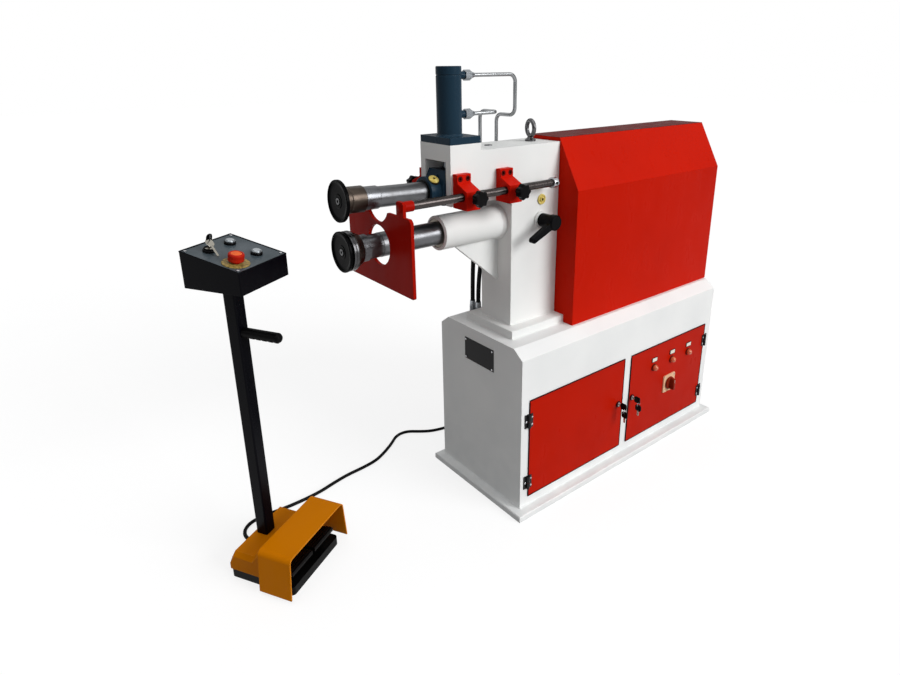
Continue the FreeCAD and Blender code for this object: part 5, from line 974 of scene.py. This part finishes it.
# The knob's profile gives its radius, its way out and how deep its seven hollows are there:
# the radius falls by 4.2 mm times (half less half the cosine of 7 angles) to the power 0.8.
knob_profile = np.array([
    (0.0, 0.0, 0.0), (0.012, 0.0, 0.0), (0.013, 0.0012, 0.0), (0.0135, 0.0085, 0.0),
    (0.0195, 0.0105, 0.4), (0.0235, 0.012, 0.8), (0.025, 0.014, 1.0), (0.025, 0.027, 1.0),
    (0.024, 0.03, 1.0), (0.0215, 0.0318, 0.8), (0.015, 0.0322, 0.2), (0.0, 0.0322, 0.0)
])
share = np.linspace(0.0, 11.0, 67)
across, out, scallop = [
    np.interp(share, np.arange(12), column)[:, None] for column in knob_profile.T
]
angle = np.linspace(0.0, 2.0 * pi, 140, endpoint=False)
lobes = 0.0042 * (0.5 - 0.5 * np.cos(7.0 * angle)) ** 0.8
reach = across - scallop * lobes[None]
knob_face_y, stud_y = 0.15, 0.1332
stud = softened([(0.0, 0.0), (0.0, 0.005), (0.0172, 0.005), (0.0172, 0.0)], 0.0006)
for side, away in (("front", -1.0), ("rear", 1.0)):
    for hand, x in (("left", -0.6805), ("right", -0.515)):
        body = "knob_%s_%s" % (side, hand)
        points = np.stack([
            x + reach * np.cos(angle), away * (knob_face_y + out + 0.0 * reach),
            bar_z + reach * np.sin(angle)
        ], axis=-1)
        knob = skin("star_" + body, points, knob_black, body)
        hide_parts("star_" + body)
        turned("stud_" + body, (x, away * stud_y, bar_z), (0, away, 0), stud, bright_screw, body,
               32)

# Adjusting lever
# A black cast lever on the column's front. It turns an eccentric pin, which shifts the lower
# shaft and its roll a little to either side.
dress(paint(
    "black_casting", "black_paint", (3, 3, 5), (8, 8, 11), (48, 48, 52), 0.2, 0.00006, gloss=0.05
), "adjust_lever")

# Bearings and drive under the cover
# Bronze bushes and the thrust ring on the lower shaft, then a worm gearbox and a finned motor
# in grey enamel, and a folded red cover over all of it. The tank and the electric board in
# the cabinet wear the same grey and a pale board paint.
dress(steel(
    "bronze", "bronze", (112, 106, 98), (70, 64, 58), 0.3, (300.0, 5.0, 5.0), 0.00001
), "shaft_bearings", "thrust_ring")
dress(paint(
    "drive_enamel", "machine_grey", (84, 92, 98), (66, 72, 78), (130, 134, 138), 0.42, 0.00015
), "drive_motor", "gearbox", "hydraulic_unit")
# The cover's roof is painted a dull dark red from just below its top: painted shade.
cover_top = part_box("gear_cover")[1][2]
dress(paint(
    "cover_enamel", "red_paint", (194, 24, 2), (182, 21, 2), (118, 14, 12), 0.3, 0.00004,
    gloss=0.03, painted_roof_shade=(cover_top, (96, 9, 6))
), "gear_cover")
dress(paint(
    "board_paint", "board", (206, 200, 186), (180, 174, 160), (120, 116, 108), 0.45
), "electric_board")

# Foot switch
# A black rubber base with two ribbed pedals under a broad ochre hood. One moulding makes
# the hood and the low housing behind it, which carries the post.
# The hood's pale, wide edge colour is a painted highlight along its edges.
dress(paint(
    "ochre_moulding", "ochre_plastic", (205, 119, 0), (192, 108, 0), (222, 158, 66), 0.34, 0.00006,
    gloss=0.03, edge=0.0024, edge_start=0.3
), "foot_housing")
dress(rubber(
    "base_black", "black_plastic", (5, 5, 5), (18, 18, 18), 0.4, 0.0002, 300.0
), "foot_base")
dress(rubber(
    "pedal_black", "black_plastic", (8, 6, 6), (28, 24, 24), 0.36, 0.00015, 420.0
), "left_pedal", "right_pedal")

# Post and control box
# A square black tube carries the sheet box with its sloping grey panel, held by four screws.
# A ribbed rubber grip stands out towards the operator at hand height.
box_black = paint("box_black", "black_paint", (3, 3, 7), (8, 8, 14), (52, 54, 60), 0.3, 0.00006)
dress(box_black, "console_box", "post_tube")
panel_grey = Finish("panel_grey", "panel_grey", tone(62, 72, 78), 0.34, gloss=0.14)
panel_patches = panel_grey.spread(panel_grey.noise(9.0, 3.0), 0.35, 0.7)
panel_grain = panel_grey.noise(1100.0, 2.0)
panel_grey.relief(panel_grain, 0.00003, 0.001)
panel_sheet = panel_grey.show(
    panel_grey.mixed(panel_patches, tone(48, 60, 66), tone(76, 84, 90)),
    panel_grey.spread(panel_grain, 0.3, 0.7, 0.26, 0.4)
)
dress(panel_sheet, "console_panel")
dress(rubber(
    "grip_rubber", "hose_rubber", (5, 5, 6), (20, 20, 20), 0.4, 0.0001, 700.0
), "hand_grip")
station_turn = radians(30.0)
station_base = np.array([-1.2643, 0.0928, 0.0])
u_axis = np.array([cos(station_turn), sin(station_turn), 0.0])
w_axis = np.array([-sin(station_turn), cos(station_turn), 0.0])
panel_slope = np.arctan(0.21)
panel_middle = station_base + 0.045 * w_axis + np.array([0.0, 0.0, 1.0097])
panel_back = cos(panel_slope) * w_axis + np.array([0.0, 0.0, sin(panel_slope)])
panel_out = np.cross(u_axis, panel_back)


def on_panel(u, v, height):
    """A point of the panel, from its way to the right, to the back and out of the panel."""
    return panel_middle + u * u_axis + v * panel_back + height * panel_out


rim_u, rim_v, screw_off = 0.0946, 0.0953, 0.085
rim = [on_panel(u, v, -0.0004) for u, v in round_trip(-rim_u, rim_u, -rim_v, rim_v)]
seam("panel_edging", rim, 0.0019, 0.0, box_black, step=0.01)
screw_places = round_trip(-screw_off, screw_off, -screw_off, screw_off)[:4]
for number, place in enumerate(screw_places, 1):
    screw_head("panel_screw_%d" % number, on_panel(*place, 0.0013), panel_out, 0.0042, 0.0016,
               "machine", turn=number * 0.8)

# Push buttons and stop button
# Two bright push buttons in black collars with bright bezels. The red mushroom button stands
# on a yellow disc: its head is straight-sided, and an orange inset in its face is a painted
# highlight on the lit top.
button_silver = steel(
    "button_silver", "chrome", (168, 174, 178), (120, 124, 128), 0.24, (400.0, 400.0, 400.0)
)
dress(button_silver, "left_button", "right_button")
switch_bore = 0.0113
collar_profile = softened(
    [(-0.0006, switch_bore), (-0.0006, 0.016), (0.0044, 0.0159), (0.0064, 0.0149),
     (0.0068, 0.014), (0.0066, switch_bore)], 0.0006
)
bezel_profile = softened(
    [(0.006, switch_bore), (0.006, 0.0138), (0.0098, 0.0136), (0.0108, 0.0128),
     (0.0106, 0.012), (0.0096, switch_bore)], 0.0006
)
key_place, stop_place = (-0.042, 0.047), (-0.051, -0.049)
for tag, place, bezel_finish in (
    ("key", key_place, key_plastic), ("left", (0.039, 0.048), button_silver),
    ("right", (0.0345, -0.045), button_silver)
):
    seat = on_panel(*place, 0.0)
    turned("collar_" + tag, seat, panel_out, collar_profile, key_plastic, "machine", 64,
           closed=True)
    turned("bezel_" + tag, seat, panel_out, bezel_profile, bezel_finish, "machine", 64, closed=True)
disc_yellow = clouded(
    "disc_yellow", (150, 124, 60), (160, 136, 72), (96, 80, 44), 0.4, 0.15, 130.0, 0.66, 600.0,
    0.0004
)
stop_seat = on_panel(*stop_place, 0.0)
stop_disc = turned(
    "stop_disc", stop_seat, panel_out,
    softened([(-0.0006, switch_bore), (-0.0006, 0.0353), (0.0008, 0.0356), (0.0015, 0.0348),
              (0.0015, 0.0118), (0.0013, switch_bore)], 0.0004),
    disc_yellow, "machine", 96, closed=True
)
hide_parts("switch_collars")
stop_red = rubber("stop_red", "red_plastic", (168, 24, 10), (196, 52, 26), 0.3, 0.00002, 900.0)
stop_top_highlight_orange = rubber(
    "stop_top_highlight_orange", "red_plastic", (228, 96, 42), (240, 132, 70), 0.34, 0.00003, 700.0
)
stop_head = turned(
    "stop_head", stop_seat, panel_out,
    softened([(-0.026, 0.0), (-0.026, 0.008), (-0.006, 0.008), (-0.005, 0.0109),
              (0.0073, 0.0109), (0.0073, 0.0192), (0.0083, 0.0208), (0.016, 0.0202),
              (0.0225, 0.0209), (0.0262, 0.02), (0.028, 0.0178), (0.028, 0.0152),
              (0.0268, 0.0142), (0.0268, 0.0)], 0.001),
    stop_red, "stop_button", 96
)
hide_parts("estop_button")
# The orange inset is a painted highlight on the button's lit top.
turned(
    "stop_face_highlight", stop_seat, panel_out,
    softened([(0.0266, 0.0), (0.0266, 0.0139), (0.0276, 0.0136), (0.0282, 0.012),
              (0.0276, 0.01), (0.0276, 0.008), (0.0284, 0.0066), (0.0285, 0.0)], 0.0006),
    stop_top_highlight_orange, "stop_button", 72
)

# Key switch
# A steel plug in a black collar, with the key in it. Its bow is black plastic, and a bare
# steel spare key hangs on a wire ring and leans on the panel.
plug = turned(
    "switch_plug", on_panel(*key_place, 0.0), panel_out,
    softened([(-0.0266, 0.0), (-0.0266, 0.008), (-0.0066, 0.008), (-0.0056, 0.0109),
              (0.0066, 0.0109), (0.0076, 0.01), (0.0076, 0.0046), (0.0064, 0.004),
              (0.0064, 0.0)], 0.0005),
    key_steel, "key", 64
)
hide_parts("switch_key")
flat_steps = [(0.0004, -0.0011), (0.0, -0.0008), (0.0, 0.0008), (0.0004, 0.0011)]
slab("switch_blade", on_panel(*key_place, 0.0165), panel_out, u_axis, 0.0115, 0.0034, 0.0008,
     flat_steps, key_steel, "key")
slab("switch_bow", on_panel(*key_place, 0.0375), panel_out, u_axis, 0.012, 0.0105, 0.009,
     flat_steps, key_plastic, "key")
spare_bow = on_panel(-0.048, 0.039, 0.028)
spare_along = on_panel(-0.054, 0.005, 0.003) - spare_bow
spare_along /= np.linalg.norm(spare_along)
spare_across = u_axis - np.dot(u_axis, spare_along) * spare_along
slab("spare_bow", spare_bow, spare_along, spare_across, 0.0124, 0.0118, 0.011, flat_steps,
     key_steel, "key")
slab("spare_blade", spare_bow + 0.026 * spare_along, spare_along, spare_across, 0.0165, 0.0033,
     0.0008, flat_steps, key_steel, "key")
ring_across = -0.64 * u_axis - 0.77 * panel_back
ring_across /= np.linalg.norm(ring_across)
ring_turn = ring_angle[:, None]
ring_line = on_panel(-0.045, 0.0425, 0.041) + 0.008 * (
    np.cos(ring_turn) * panel_out + np.sin(ring_turn) * ring_across
)
seam("switch_ring", ring_line, 0.001, 0.0, ring_steel, "key")

# Floor cord
# A black rubber cord from the foot switch to the cabinet's back. It lies in loose curves on
# the floor, and short tapered sleeves keep it from kinking at its two nylon glands.
dress(rubber("gland_nylon", "black_plastic", (14, 14, 15), (44, 44, 44), 0.4), "cord_glands")
cord_rubber = rubber("cord_rubber", "cord_jacket", (10, 10, 11), (30, 30, 31), 0.5)
cord_radius = 0.006
foot_gland_end = station_base + 0.012 * u_axis + 0.1285 * w_axis + np.array([0.0, 0.0, 0.014])
cabinet_gland_end = np.array([-0.33, 0.233, 0.06])
cord_points = np.array([
    foot_gland_end,
    foot_gland_end + 0.0295 * w_axis,
    (-1.3360, 0.2650, 0.0125),
    (-1.3269, 0.2930, 0.0100),
    (-1.3072, 0.3149, 0.0075),
    (-1.2802, 0.3269, 0.0060),
    (-1.2320, 0.3265, 0.0060),
    (-1.1500, 0.3185, 0.0060),
    (-1.0478, 0.3223, 0.0060),
    (-0.9807, 0.3387, 0.0060),
    (-0.9127, 0.3518, 0.0060),
    (-0.8467, 0.3540, 0.0060),
    (-0.7851, 0.3623, 0.0060),
    (-0.7394, 0.3823, 0.0060),
    (-0.6760, 0.4210, 0.0060),
    (-0.6248, 0.4630, 0.0060),
    (-0.5731, 0.4630, 0.0060),
    (-0.5277, 0.4230, 0.0060),
    (-0.4860, 0.3957, 0.0060),
    (-0.4337, 0.3821, 0.0060),
    (-0.3820, 0.3720, 0.0060),
    (-0.3460, 0.3400, 0.0200),
    cabinet_gland_end + np.array([0.0, 0.054, 0.0]),
    cabinet_gland_end
])
floor_cord = laid_cord("floor_cord_line", cord_points, cord_radius, cord_rubber)
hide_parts("floor_cord")
# A sleeve's radius falls by 0.045 mm to the millimetre, under ribs that follow a sine.
sleeve_length, rib_pitch = 0.024, 0.0034
sleeve_along = np.linspace(0.0, sleeve_length, 61)
sleeve_radius = 0.0078 - 0.045 * sleeve_along + 0.00035 * np.sin(
    sleeve_along * 2.0 * pi / rib_pitch
)
sleeve_profile = np.vstack([
    [0.0, 0.0], np.column_stack([sleeve_along, sleeve_radius]), [sleeve_length, 0.0061],
    [0.0238, 0.0]
])
sleeves = [
    turned("cord_sleeve_" + end, place, out, sleeve_profile, cord_rubber, "machine", 40)
    for end, place, out in (
        ("foot", foot_gland_end, w_axis), ("cabinet", cabinet_gland_end, (0.0, 1.0, 0.0))
    )
]
